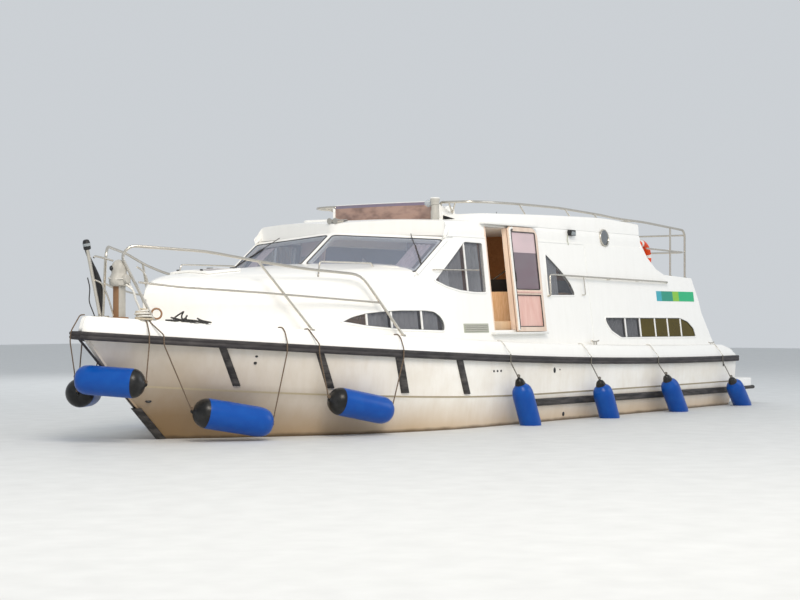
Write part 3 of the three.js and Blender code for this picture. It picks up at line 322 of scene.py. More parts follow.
def node(tree, kind, inputs=(), out=0, to=None, **settings):
    """Adds a shader node with its settings; an input is a value, a colour or the output that feeds it.
    The output asked for is handed back, and feeds the socket to."""
    made = tree.nodes.new("ShaderNode" + kind)
    for name, value in settings.items():
        setattr(made, name, value)
    for key, value in dict(inputs).items():
        socket = made.inputs[key]
        if isinstance(value, bpy.types.NodeSocket):
            tree.links.new(value, socket)
        elif socket.type == "RGBA":
            socket.default_value = (*(linear(value) if isinstance(value, str) else value), 1)
        else:
            socket.default_value = value
    if to is not None:
        tree.links.new(made.outputs[out], to)
    return made.outputs[out]


def surface(name, colour, roughness, metallic=0.0, **more):
    """A new material with one Principled shader, its tree, the shader's inputs and object coordinates."""
    made = bpy.data.materials.new(name)
    made.use_nodes = True
    made.diffuse_color = (*colour, 1)
    tree = made.node_tree
    tree.nodes.clear()
    shown = tree.nodes.new("ShaderNodeOutputMaterial")
    inputs = {"Base Color": colour, "Roughness": roughness, "Metallic": metallic,
              **{key.replace("_", " "): value for key, value in more.items()}}
    skin = node(tree, "BsdfPrincipled", inputs, to=shown.inputs["Surface"]).node.inputs
    return made, tree, skin, node(tree, "TexCoord", out="Object")


def stain_and_reflection_patches(tree, skin, where, colour, stain_and_reflection, scale, share, stretch=(1, 1, 1), detail=5):
    """Lets a second colour show through in soft patches that cover about the given share: stains and wear
    on most finishes, painted reflections on the glass.
    """
    place = node(tree, "Mapping", {"Vector": where, "Scale": stretch})
    noise = node(tree, "TexNoise", {"Vector": place, "Scale": scale, "Detail": detail, "Roughness": .6})
    patch = node(tree, "MapRange", {"Value": noise, "From Min": .42, "From Max": .78, "To Max": share})
    return node(tree, "Mix", {0: patch, 6: colour, 7: stain_and_reflection}, 2, skin["Base Color"], data_type="RGBA")


def gelcoat(name, colour, stain_and_reflection, streak):
    # Moulded glass fibre gelcoat: glossy, slightly wavy, with faint rain streaks and grey grime.
    made, tree, skin, where = surface(name, colour, .26, Coat_Weight=.35, Coat_Roughness=.12, IOR=1.5)
    tone = stain_and_reflection_patches(tree, skin, where, colour, stain_and_reflection, 1.1, streak)
    stain_and_reflection_patches(tree, skin, where, tone, stain_and_reflection, 3.2, streak * 1.6, (3.5, 3.5, .35), 3)
    wave = node(tree, "TexNoise", {"Vector": where, "Scale": 9.0, "Detail": 1.0})  # waves about 110 mm long
    node(tree, "Bump", {"Height": wave, "Strength": .012, "Distance": .02}, to=skin["Normal"])
    return made


def hull_gelcoat(name, colour):
    # Older cream gelcoat: duller, yellowed by the water below, with streaks, and paint under the waterline;
    # browner towards the bow and lower down, which is painted shade and painted reflection of the water
    # under the flare.
    made, tree, skin, where = surface(name, colour, .34, Coat_Weight=.2, Coat_Roughness=.2, IOR=1.5)
    tone = stain_and_reflection_patches(tree, skin, where, colour, "#C9B79A", .8, .5)
    tone = stain_and_reflection_patches(tree, skin, where, tone, "#D9CDB8", 4.0, .25, (2.5, 2.5, .5), 4)
    along, _, height = node(tree, "SeparateXYZ", {0: where}).node.outputs
    noise = node(tree, "TexNoise", {"Vector": where, "Scale": 2.6, "Detail": 6.0})
    ragged = node(tree, "Math", {0: noise, 1: .06, 2: -.03}, operation="MULTIPLY_ADD")
    level = node(tree, "Math", {0: height, 1: ragged}, operation="ADD")
    low = node(tree, "MapRange", {"Value": level, "From Min": .42, "From Max": .0, "To Max": .72})
    # painted shade and painted reflection of the water: browner towards the bow and lower down, under the
    # flare
    fore = node(tree, "MapRange", {"Value": along, "From Min": 2.4, "From Max": 6.0, "To Max": .9})
    under = node(tree, "MapRange", {"Value": height, "From Min": 1.7, "From Max": .3})
    both = node(tree, "Math", {0: fore, 1: under}, operation="MULTIPLY")
    scum = node(tree, "MapRange", {"Value": level, "From Min": .05, "From Max": .015, "To Max": .85})
    paint = node(tree, "MapRange", {"Value": height, "From Min": -.035, "From Max": -.045})
    for share, layer in ((low, "#B8925A"), (both, "#8C6A38"), (scum, "#54432C"), (paint, "#2A333B")):
        tone = node(tree, "Mix", {0: share, 6: tone, 7: layer}, 2, skin["Base Color"], data_type="RGBA")
    wave = node(tree, "TexNoise", {"Vector": where, "Scale": 6.0, "Detail": 2.0})
    node(tree, "Bump", {"Height": wave, "Strength": .05, "Distance": .02}, to=skin["Normal"])
    return made


def rubber(name, colour, scuff, share):
    # Extruded black rubber: matt, greyed by scuffs that run along it.
    made, tree, skin, where = surface(name, colour, .62, IOR=1.52)
    stain_and_reflection_patches(tree, skin, where, colour, scuff, 6.0, share, (.5, 1, 3), 6)
    grain = node(tree, "TexNoise", {"Vector": where, "Scale": 90.0, "Detail": 3.0})  # pits about 10 mm apart
    node(tree, "Bump", {"Height": grain, "Strength": .25, "Distance": .003}, to=skin["Normal"])
    return made


def vinyl(name, colour, scuff, share):
    # Blow moulded PVC: soft gloss, a little chalky, with rubbed patches.
    made, tree, skin, where = surface(name, colour, .3, IOR=1.52, Specular_IOR_Level=.3)
    stain_and_reflection_patches(tree, skin, where, colour, scuff, 7.0, share, (1, 1, 1), 6)
    grain = node(tree, "TexNoise", {"Vector": where, "Scale": 30.0, "Detail": 4.0})  # about 30 mm apart
    node(tree, "Bump", {"Height": grain, "Strength": .08, "Distance": .004}, to=skin["Normal"])
    return made


def metal(name, colour, roughness, tarnish):
    # Drawn tube or rolled metal: polished along its length, with a light bloom of tarnish.
    made, tree, skin, where = surface(name, colour, roughness, 1.0)
    stain_and_reflection_patches(tree, skin, where, colour, "#6E675E", 8.0, tarnish)
    grain = node(tree, "TexNoise", {"Vector": where, "Scale": 60.0, "Detail": 4.0})  # about 16 mm apart
    node(tree, "MapRange", {"Value": grain, "To Min": roughness * .75, "To Max": roughness * 1.4},
         to=skin["Roughness"])
    return made


def glazing(name, colour, alpha, stain_and_reflection="#8F979B", share=.35, shine=.5):
    # Toughened tinted glass or acrylic sheet: smooth, reflecting, letting part of the light through;
    # its soft patches of a second colour are painted reflections.
    made, tree, skin, where = surface(name, colour, .03, IOR=1.5, Alpha=alpha, Specular_IOR_Level=shine)
    # painted reflections: soft patches of the second colour over the pane
    stain_and_reflection_patches(tree, skin, where, colour, stain_and_reflection, .9 if share < .5 else 4.0, share, (1, 1, 2.2), 2)
    wave = node(tree, "TexNoise", {"Vector": where, "Scale": 3.0, "Detail": 1.0})  # waves about 300 mm long
    node(tree, "Bump", {"Height": wave, "Strength": .015, "Distance": .02}, to=skin["Normal"])
    return made


def after_glazing(name, colour, alpha, fore, fore_alpha):
    # Tinted glass that stands open to the light aft and lets the curtains behind its two fore panes show;
    # its darker olive patches are painted reflections.
    made = glazing(name, colour, alpha, "#423610", .4, .12)
    tree = made.node_tree
    skin = tree.nodes["Principled BSDF"].inputs
    along = node(tree, "SeparateXYZ", {0: node(tree, "TexCoord", out="Object")})
    ahead = node(tree, "Math", {0: along, 1: CURTAINED_FROM_X}, operation="GREATER_THAN")
    olive = skin["Base Color"].links[0].from_socket
    node(tree, "Mix", {0: ahead, 6: olive, 7: fore}, 2, skin["Base Color"], data_type="RGBA")
    node(tree, "MapRange", {"Value": ahead, "To Min": alpha, "To Max": fore_alpha}, to=skin["Alpha"])
    return made


def cloth(name, colour, shade):
    # Woven fabric: matt with a soft sheen; threads of 1 mm are drawn ten times as coarse, so that they show.
    made, tree, skin, where = surface(name, colour, .9, Sheen_Weight=.3, Sheen_Roughness=.5)
    stain_and_reflection_patches(tree, skin, where, colour, shade, 5.0, .5)
    pitch = 2 * math.pi / (THREAD * 10) / 20
    weft = node(tree, "TexWave", {"Vector": where, "Scale": pitch, "Distortion": .4}, 1, bands_direction="Z")
    node(tree, "Bump", {"Height": weft, "Strength": .2, "Distance": .002}, to=skin["Normal"])
    return made


def wood(name, colour, dark, along=(1, 9, 9)):
    # Varnished veneer: grain lines every few millimetres, drawn along the panel.
    made, tree, skin, where = surface(name, colour, .38, Coat_Weight=.3, Coat_Roughness=.2)
    place = node(tree, "Mapping", {"Vector": where, "Scale": along})
    grain = node(tree, "TexNoise", {"Vector": place, "Scale": 7.0, "Detail": 8.0, "Distortion": .6})
    tone = node(tree, "MapRange", {"Value": grain, "From Min": .3, "From Max": .7})
    node(tree, "Mix", {0: tone, 6: dark, 7: colour}, 2, skin["Base Color"], data_type="RGBA")
    node(tree, "Bump", {"Height": grain, "Strength": .1, "Distance": .002}, to=skin["Normal"])
    return made


def rope_finish(name, colour):
    # Laid polyester line: its lays between the strands, about 12 mm apart, darkened with painted shade;
    # fuzzy and weathered.
    made, tree, skin, where = surface(name, colour, .85, Sheen_Weight=.2)
    lay = node(tree, "TexWave", {"Vector": where, "Scale": 26.0, "Distortion": .3}, 1,
               bands_direction="DIAGONAL")
    # painted shade: the colour darkens in the grooves between the strands
    tone = node(tree, "MapRange", {"Value": lay, "To Min": .35, "To Max": 1.0})
    dark = tuple(c * .55 for c in colour)
    node(tree, "Mix", {0: tone, 6: dark, 7: colour}, 2, skin["Base Color"], data_type="RGBA")
    node(tree, "Bump", {"Height": lay, "Strength": .3, "Distance": .003}, to=skin["Normal"])
    return made


def plain(name, colour, roughness, metallic=0.0, grain=40.0, depth=.1):
    # Small mouldings and fittings: one colour with a fine moulded grain.
    made, tree, skin, where = surface(name, colour, roughness, metallic)
    noise = node(tree, "TexNoise", {"Vector": where, "Scale": grain, "Detail": 4.0})
    dark = tuple(c * .82 for c in colour)
    node(tree, "Mix", {0: noise, 6: dark, 7: colour}, 2, skin["Base Color"], data_type="RGBA")
    node(tree, "Bump", {"Height": noise, "Strength": depth, "Distance": .002}, to=skin["Normal"])
    return made


# Each finish: its function, its colour or the setting that holds it, and what else the function takes
FINISHES = {
    "white_gelcoat": (gelcoat, "upper_works", "#C8C4B8", .04),
    "deck_gelcoat": (gelcoat, "deck", "#B4AD9C", .14),
    "cream_gelcoat": (hull_gelcoat, "hull"),
    # the knuckle's band: partly dirt in its step, partly painted shade under it
    "seam_sealant": (plain, "#CDBD9F", .8),
    "black_rubber": (rubber, "rubber", "#7E7873", .5),
    "scuffed_rubber": (rubber, "#282426", "#7C7672", .28),
    "blue_vinyl": (vinyl, "fenders", "#1F78CE", .16),
    "black_vinyl": (vinyl, "#151515", "#5A5A5A", .3),
    "orange_foam": (vinyl, "lifebuoy", "#E8703E", .2),
    "white_band": (vinyl, "#ECEBE6", "#B8B4AA", .4),
    "grey_paint": (plain, "#BDBAB2", .5, 0.0, 25.0, .4),
    "polished_stainless": (metal, "#D3CDC2", .23, .14),
    "cast_bronze": (metal, "#B08450", .38, .5),
    "painted_steel": (plain, "#5C6064", .5, .3, 25.0, .2),
    # In the glass finishes the second colour, where one is given, is painted reflection, laid on in patches
    "windscreen_glass": (glazing, "#9CA6B8", .34),
    "cabin_glass": (glazing, "#55565D", .36),
    "aft_glass": (after_glazing, "#5A4F1E", .9, "#4E4F52", .4),
    "porthole_glass": (glazing, "#6E7276", .9),
    "door_glass": (glazing, "#8A7680", .72),
    "pink_film": (glazing, "#EED3D6", .85),
    "smoked_acrylic": (glazing, "#B39486", .85, "#54403E", .75),
    "violet_film": (glazing, "#85798C", .9),
    "lens_glass": (glazing, "#C9D2D6", .5),
    "grey_curtain": (cloth, "side_curtains", "#A4A8B0"),
    "pink_curtain": (cloth, "screen_curtains", "#A08A92"),
    "cream_frame": (gelcoat, "#EAD6C4", "#C9A690", .3),
    "tan_gelcoat": (gelcoat, "#DDBB94", "#C09A74", .3),
    "pink_panel": (gelcoat, "door_panel", "#D79A8E", .4),
    "brown_veneer": (wood, "#553522", "#2E1D10", (9, 9, 1)),
    "tan_veneer": (wood, "#E0BC98", "#C99C70", (9, 9, 1)),
    "teak_boards": (wood, "#9A6A40", "#6E4626"),
    "tan_upholstery": (cloth, "#B9A48D", "#9A8670"),
    "white_upholstery": (cloth, "#DDD8CC", "#B9B2A2"),
    "brown_line": (rope_finish, "#6E5B48"),
    "pale_line": (rope_finish, "#CDBFA6"),
    "dark_line": (rope_finish, "#3C3A38"),
    "grey_line": (rope_finish, "#77726A"),
    "white_line": (rope_finish, "#E9E6DE"),
    "walnut_panel": (wood, "#93653F", "#704825"),
    "black_plastic": (plain, "#1B1B1C", .42),
    "oven_black": (plain, "#140F0C", .75),
    "grey_plastic": (plain, "#8E9190", .5),
    "louvre_paint": (plain, "#B7BBA8", .5),
    "rusty_iron": (plain, "#9B7657", .85, 0.0, 60.0, .5),
    "stripe_teal": (plain, "#3BB0C0", .3),
    "stripe_green": (plain, "#149A80", .3),
    "stripe_lime": (plain, "#8CCB3A", .3),
    "stripe_bright": (plain, "#0DBB7C", .3),
    "gloss_white": (plain, "#F4F4F0", .3),
    "ceiling_liner": (cloth, "#E9E4D8", "#D8D0C0"),
    "studio_floor": (plain, "#DADCDC", .6, 0.0, 3.0, .0),
}
MADE = {}


def finish(name):
    """The material of that name, made when it is first asked for."""
    if name not in MADE:
        kind, colour, *more = FINISHES[name]
        settings = bpy.context.scene.houseboat
        MADE[name] = kind(name, linear(colour) if colour[0] == "#" else tuple(getattr(settings, colour)),
                          *more)
    return MADE[name]


def sharpen_open_edges(mesh):
    """Marks the edges that only one face has, so that a shell's rim is shaded apart from its faces."""
    edges = np.zeros(len(mesh.loops), np.int32)
    mesh.loops.foreach_get("edge_index", edges)
    flags = np.zeros(len(mesh.edges), bool)
    mesh.edges.foreach_get("use_edge_sharp", flags)
    mesh.edges.foreach_set("use_edge_sharp", flags | (np.bincount(edges, minlength=len(flags)) == 1))


def placed(mesh, finishes, body, sharp):
    """One object for a mesh: with its materials, smooth up to the sharp angle, riding its body."""
    made = bpy.data.objects.new(mesh.name, mesh)
    bpy.context.scene.collection.objects.link(made)
    for f in (finishes,) if isinstance(finishes, str) else finishes:
        mesh.materials.append(finish(f))
    mesh.shade_smooth()
    mesh.set_sharp_from_angle(angle=math.radians(sharp))
    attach(made, body)
    return made


def bevel(made, width, segments, angle, clamp):
    soft = made.modifiers.new("edge", "BEVEL")
    soft.width, soft.segments = width, segments
    soft.limit_method, soft.angle_limit = "ANGLE", math.radians(angle)
    soft.use_clamp_overlap, soft.harden_normals = clamp, not clamp


def piece(name, shape, finishes, body=BODY, replaces=(), sharp=32, weld=1e-5, shell=0,
          edge=0, outward=True):
    """Puts a shape into one object, welded and turned outward. A shell gets that wall inward, and an edge is
    rounded by that width."""
    mesh = bpy.data.meshes.new(name)
    mesh.from_pydata(np.vstack(shape.points).tolist(), [], shape.faces)
    mesh.polygons.foreach_set("material_index", shape.finishes)
    work = bmesh.new()
    work.from_mesh(mesh)
    bmesh.ops.remove_doubles(work, verts=work.verts, dist=weld)
    bmesh.ops.dissolve_degenerate(work, dist=1e-7, edges=work.edges)
    if outward:
        bmesh.ops.recalc_face_normals(work, faces=work.faces)
    work.to_mesh(mesh)
    work.free()
    made = placed(mesh, finishes, body, sharp)
    if shell:
        wall = made.modifiers.new("wall", "SOLIDIFY")
        wall.thickness, wall.offset = shell, -1
        sharpen_open_edges(mesh)
    if edge:
        bevel(made, edge, 2, 35, True)
    if replaces:
        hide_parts(*replaces)
    return made


def softened(name, source, finishes, edge=.012, pick=None):
    """A copy of a CAD node, merged, its flat faces joined and its edges rounded. pick gives each face its
    finish from the faces' middles and normals."""
    work = bmesh.new()
    work.from_mesh(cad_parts[source].data)
    bmesh.ops.remove_doubles(work, verts=work.verts, dist=5e-5)
    if edge:
        bmesh.ops.dissolve_limit(work, angle_limit=math.radians(.4), verts=work.verts, edges=work.edges)
    mesh = bpy.data.meshes.new(name)
    work.to_mesh(mesh)
    work.free()
    mesh.materials.clear()
    made = placed(mesh, finishes, BODY, 60 if edge else 12)
    indices = np.zeros(len(mesh.polygons), int)
    if pick:
        middle = np.array([tuple(p.center) for p in mesh.polygons])
        normal = np.array([tuple(p.normal) for p in mesh.polygons])
        indices = np.asarray(pick(middle, normal), int)
    mesh.polygons.foreach_set("material_index", indices)
    if edge:
        bevel(made, edge, 3, 20, False)
    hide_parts(source)
    return made


def dress(finishes, *nodes):
    """Gives CAD nodes that keep their shape a better material."""
    for n in nodes:
        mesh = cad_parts[n].data
        mesh.materials.clear()
        mesh.materials.append(finish(finishes))
        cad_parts[n].hide_render = False


# Hull and deck

def hull_heights(x):
    x = np.asarray(x, float)
    rise = .36 * np.clip((-3 - x) / 3.5, 0, 1) ** 1.3
    zero = np.zeros_like(x)
    return np.stack([rail_top(x), knuckle_z(x) + .012, knuckle_z(x) - .012, zero, -.28 + .45 * rise,
                     -.49 + .95 * rise, -.56 + rise])


def stem_x(z):
    """Where the stem's straight line stands at a height."""
    return 5.875 + 1.11 * z


def hull_curves(share):
    """The hull's curves from the rail's top to the keel, each at the given shares of its own length."""
    stem = np.minimum(STEM_HEAD_X, stem_x(HULL_LEVELS))
    back = TRANSOM_X + .12 * np.maximum(RAIL_AFT_Z - HULL_LEVELS, 0)
    x = lerp(back[:, None], stem[:, None], share[None])
    y = np.maximum(waterline(x, stem[:, None], HULL_HALVES[:, None]), STEM_HALF)
    z = np.stack([hull_heights(row)[i] for i, row in enumerate(x)])
    return np.stack([x, y, z], -1)


def between(curves, steps):
    """Rows of points from each curve to the next in equal steps, with the last curve."""
    rows = [lerp(a, b, k / n) for a, b, n in zip(curves, curves[1:], steps) for k in range(n)]
    return np.array([*rows, curves[-1]])


def on_hull(x, z):
    """Half breadth of the hull's own surface at x and z, read from its rows of points."""
    rows = between(hull_curves(SHARES), HULL_STEPS)
    x, z = np.broadcast_arrays(np.asarray(x, float), np.asarray(z, float))
    found = np.empty(x.shape)
    for i in np.ndindex(x.shape):
        y, up = np.array([[np.interp(x[i], r[:, 0], r[:, k]) for k in (1, 2)] for r in rows]).T
        found[i] = np.interp(z[i], up[::-1], y[::-1])
    return found


def hull_side(x, z):
    """Half breadth of the hull at x and z above the water, straight between its curves."""
    x, z = np.broadcast_arrays(np.asarray(x, float), np.asarray(z, float))
    heights = hull_heights(x)[:4]
    half = np.full(x.shape, HULL_HALVES[0])
    for i in range(3):
        t = np.clip((heights[i] - z) / np.maximum(heights[i] - heights[i + 1], 1e-6), 0, 1)
        half = np.where(z < heights[i], lerp(HULL_HALVES[i], HULL_HALVES[i + 1], t), half)
    return np.maximum(waterline(x, np.minimum(STEM_HEAD_X, stem_x(z)), half), STEM_HALF)


# Shares of the length, closer together towards the bow
SHARES = 1 - (1 - np.linspace(0, 1, 150)) ** 1.5
HULL_STEPS = (8, 2, 8, 4, 3, 2)  # rows of points from each of the hull's curves to the next
# the seam's rows are coloured partly as dirt in its step, partly with painted shade under it
SEAM_ROWS = (8, 10)  # the rows that the seam under the rail takes up


def bar(points, radius, bend=.12, sides=14):
    return tube(rounded(points, bend), radius, sides)


def prism(shape, outline, low, high):
    """An outline in x and z carried across the boat from low to high."""
    outline = np.asarray(outline, float)
    n = len(outline)
    points = np.vstack([np.column_stack([outline[:, 0], np.full(n, y), outline[:, 1]]) for y in (low, high)])
    ids = np.arange(n)
    walls = np.stack([ids, np.roll(ids, -1), np.roll(ids, -1) + n, ids + n], -1)
    shape.add(points, (walls, ids[None], ids[None, ::-1] + n))


def build_hull():
    """Rows of points between the hull's curves, on both sides, with the transom, stem and keel across."""
    rows = between(hull_curves(SHARES), HULL_STEPS)
    shape = Shape()
    ends = (0, *SEAM_ROWS, len(rows) - 1)
    # the seam's rows take the second finish: partly dirt, partly painted shade
    for first, last, colour in zip(ends, ends[1:], (0, 1, 0)):
        shape.grid(rows[first:last + 1], colour)
    shape.mirror()
    for end, steps in ((0, 12), (-1, 3)):
        t = np.linspace(0, 1, steps + 1)[None, :, None]
        port = rows[:, end][:, None]
        shape.grid(lerp(port, port * (1, -1, 1), t))
    t = np.linspace(0, 1, 4)[:, None, None]
    shape.grid(lerp(rows[-1][None], rows[-1][None] * (1, -1, 1), t))
    piece("hull", shape, ("cream_gelcoat", "seam_sealant"), replaces=["hull_shell"],
          shell=.05, sharp=28)
    keel = Shape()
    prism(keel, [(4.2, -.5), (3.6, -.64), (2.2, -.8), (-6.2, -.8), (-6.2, -.755), (-5.45, -.74),
                 (-5.38, -.64), (-5.33, -.42), (-5.25, -.33), (-3, -.52)], -.04, .04)
    shaft, stock = (-5.2, 0, -.528), (-6.12, 0, -.2)
    keel.solid(lathe(shaft, (-5.46, 0, -.528), [(0, .055), (.8, .055), (1, .045)]))
    keel.solid(lathe(stock, (-6.12, 0, -.33), [(0, .055), (.8, .055), (1, .045)]))
    piece("skeg", keel, "cream_gelcoat", edge=.006)


DECK_PROFILE = [(.0003, 0), (.05, .0175), (.1, .035), (.13, .046), (.15, .057), (.168, .071), (.18, .082),
                (.187, .095), (.19, .112)]


def deck_edge(x, inboard):
    """Half breadth of the deck moulding a way in from the hull's edge."""
    return np.maximum(waterline(x, STEM_HEAD_X - .9 * inboard, BEAM_HALF - inboard), STEM_HALF)


def deck_row(x, height, inboard):
    """Points of the deck moulding at a height over the rub rail and a way in from the hull's edge."""
    y = deck_edge(x, inboard)
    aft = np.interp(x, [-6.52, -6.36, -5.96, -5.9], [.85, .96, 1.07, 9])
    return np.stack([x, y, np.minimum(rail_top(x) + height, aft)], -1)


def build_deck():
    """The moulding's profile carried along the sheer, then the deck in to the cabin side, or right across it
    before the cabin's nose and behind its after end."""
    shape = Shape()
    for first, last, count in ((TRANSOM_X, -5.6, 24), (-5.6, STEM_HEAD_X, 130)):
        t = 1 - (1 - np.linspace(0, 1, count)) ** (1.5 if last > 0 else 1)
        rows = []
        for height, inboard in DECK_PROFILE:
            end = STEM_HEAD_X - .9 * inboard if last > 0 else last
            rows.append(deck_row(lerp(first, end, t), height, inboard))
        edge = rows[-1]
        inner = np.maximum(cabin_side(edge[:, 0], edge[:, 2], .07), 0) * (first > TRANSOM_X)
        inner = np.minimum(inner, edge[:, 1])
        for v in np.linspace(0, 1, 9)[1:]:
            rows.append(np.stack([edge[:, 0], lerp(edge[:, 1], inner, v), edge[:, 2]], -1))
        rows = np.array(rows)
        shape.grid(rows[:len(DECK_PROFILE) + 1], 0)
        shape.grid(rows[len(DECK_PROFILE):], 1)
    shape.mirror()
    piece("deck", shape, ("white_gelcoat", "deck_gelcoat"), replaces=["deck_moulding"], shell=.03, sharp=40)


RAIL_REACH = 1.49  # how far a rubber stands ahead of the stem for each metre that it stands out
RAIL_PROFILE = [(0, -.004), (.04, -.001), (.053, -.006), (.0595, -.018), (.0595, -.04), (.054, -.047),
                (.054, -.053), (.0595, -.06), (.0595, -.082), (.053, -.094), (.04, -.0995), (0, -.0995)]


def along_sheer(profile):
    """A profile of (outward, height) carried from the port quarter round the stem to the other quarter."""
    rows = []
    for out, height in profile:
        stem = STEM_HEAD_X + RAIL_REACH * out
        x = lerp(TRANSOM_X + .002, stem, SHARES)
        y = np.maximum(waterline(x, stem, BEAM_HALF + out), STEM_HALF + out)
        port = np.stack([x, y, rail_top(x) + height], -1)
        rows.append(np.vstack([port, port[::-1] * (1, -1, 1)]))
    return np.array(rows).transpose(1, 0, 2)


# Rub strips on the bow: x at the rail, x and z at the foot
RUB_STRIPS = [(5.741, 5.439, .662), (4.541, 4.308, .614), (3.353, 3.197, .523), (2.23, 2.032, .475)]
STRIP_PROFILE = [(-.062, -.004), (-.061, .012), (-.054, .022), (-.04, .026), (.04, .026), (.054, .022),
                 (.061, .012), (.062, -.004)]
LOWER_PROFILE = [(0, -.004), (0, .034), (.12, .046), (.3, .048), (.45, .043), (.55, .043), (.7, .048),
                 (.88, .046), (1, .034), (1, -.004)]
GUARD_TOP = .40


def build_rub_rails():
    """The rail's profile along the sheer; strips and guards as profiles laid down the hull's side."""
    piece("rail", Shape().solid(along_sheer(RAIL_PROFILE)), "scuffed_rubber", replaces=["rub_rail"],
          sharp=50)
    bow = Shape()
    for head, foot, low in RUB_STRIPS:
        t = np.linspace(0, 1, 16)[:, None]
        w, out = np.array(STRIP_PROFILE).T
        x = lerp(head, foot, t) + w * np.interp(head, [3.3, 5.7], [1, .62])
        z = lerp(rail_top(head) - .085, low, t) + 0 * w
        bow.solid(np.stack([x, on_hull(x, z) + out, z], -1))
    bow.mirror()
    piece("bow_strips", bow, "black_rubber", sharp=50)
    guard = Shape()
    width, thick = .058, .034
    z, a = np.linspace(.0, GUARD_TOP, 20)[:, None], np.linspace(-1, 1, 13)[None]
    inner = np.stack([stem_x(z) - .05 + 0 * a, width * a + 0 * z, z + 0 * a], -1)
    reach = stem_x(z) + RAIL_REACH * thick - .06 * np.abs(a) ** 3
    outer = np.stack([reach + 0 * a, width * a + 0 * z, z + 0 * a], -1)
    guard.solid(np.concatenate([inner, outer[:, ::-1]], 1))
    z, a = np.linspace(GUARD_TOP, 1.24, 20)[:, None], np.linspace(-1, 1, 7)[None]
    seam = np.stack([stem_x(z) + .012 - .012 * a ** 2, .016 * a + 0 * z, z + 0 * a], -1)
    back = np.stack([stem_x(z) - .02 + 0 * a, .016 * a + 0 * z, z + 0 * a], -1)
    guard.solid(np.concatenate([back, seam[:, ::-1]], 1))
    piece("stem_guard", guard, "black_rubber", sharp=50)
    for side, sign in SIDES:
        strip = Shape()
        x = np.linspace(-6.3, .28, 60)[:, None]
        low = np.interp(x, [-6.3, .28], [.215, .24])
        high = np.interp(x, [-6.3, .28], [.315, .345])
        part, out = np.array(LOWER_PROFILE).T
        z = lerp(low, high, part)
        strip.solid(np.stack([x + 0 * z, sign * (hull_side(x, z) + out), z], -1))
        piece(f"lower_strip_{side}", strip, "black_rubber", replaces=[f"lower_rail_{side}"],
              sharp=50)


# Superstructure

# Outlines of the openings in the cabin side, x and z, with the x of the bars and their width
WINDOWS = {
    "fore": ([(4.042, 1.448), (3.866, 1.526), (3.655, 1.572), (3.354, 1.598), (3.1, 1.61), (2.634, 1.61),
              (2.457, 1.594), (2.33, 1.527), (2.262, 1.433), (2.27, 1.319), (3.129, 1.343), (3.674, 1.391)],
             (3.65, 3.255, 2.713), .03),
    "side": ([(1.627, 2.562), (2.395, 2.004), (2.127, 1.92), (1.835, 1.869), (1.474, 1.846), (1.184, 1.849),
              (1.17, 2.555)], (1.64,), .026),
    "quarter": ([(-.5, 2.46), (-.717, 2.334), (-.95, 2.189), (-1.153, 2.027), (-1.257, 1.877),
                 (-1.247, 1.832), (-.486, 1.824)], (), 0),
    "aft": ([(-2.1, 1.514), (-4.615, 1.508), (-4.89, 1.448), (-5.087, 1.33), (-5.143, 1.178),
             (-2.556, 1.185), (-2.259, 1.297), (-2.128, 1.421)],
            (-2.742, CURTAINED_FROM_X, -3.729, -4.169, -4.633), .034),
}
CURTAIN_SPANS = {"fore": ((2.36, 2.68), (2.75, 3.22), (3.29, 3.62)), "side": ((1.25, 1.6), (1.7, 2.25)),
                 "quarter": ((-.84, -.53),), "aft": ((-2.7, -2.2), (-3.18, -2.78))}
CROWN = np.array([(2.3, 2.29), (3.08, 2.24), (3.9, 2.18), (4.68, 2.12), (5.2, 2.085), (5.51, 2.06),
                  (5.82, 2.01), (5.99, 1.96), (6.09, 1.9), (6.15, 1.82), (6.24, 1.5)])
CROWN_FALL = np.array([(0, 0), (.35, .014), (.62, .04), (.8, .072), (.92, .112), (1, .16)])
EDGE_DROP = .075  # how far the rounding of the trunk's edge reaches down its side
SPLIT_X = 4.3  # aft of this the side is a panel with windows


def trunk_edge(x):
    """Half breadth and height of the edge where the trunk's crown would meet its side."""
    z = smooth_curve(x, *CROWN.T) - CROWN_FALL[-1, 1]
    return cabin_side(x, z), z


def trunk_crown(x):
    """Rows from below the rounded edge, over it by a quadratic curve, and up the crown to the middle."""
    y_edge, z_edge = trunk_edge(x)
    low = np.stack([x, cabin_side(x, z_edge - EDGE_DROP), z_edge - EDGE_DROP], -1)
    corner = np.stack([x, y_edge, z_edge], -1)

    def top(share):
        return np.stack([x, y_edge * share, smooth_curve(x, *CROWN.T) - smooth_curve(share, *CROWN_FALL.T)],
                        -1)

    start = top(.94)
    t = np.linspace(0, 1, 8)[:, None, None]
    return np.concatenate([quadratic(low, corner, start, t), [top(s) for s in np.linspace(.94, 0, 15)[1:]]])


def wall_points(flat, inset=0.0):
    return np.column_stack([flat[:, 0], cabin_side(flat[:, 0], flat[:, 1], inset), flat[:, 1]])


DOOR = dict(back=.48, front=1.06, sill=1.33, head=2.79)
# Roof sections: x, height of the edge and of the crown
ROOF = np.array([(ROOF_AFT_X, 2.875, 2.92), (0, 2.875, 2.92), (1.09, 2.875, 2.92), (1.9, 2.845, 2.89),
                 (2.1, 2.825, 2.875), (2.26, 2.79, 2.845), (2.42, 2.76, 2.81), (2.64, 2.74, 2.78)])
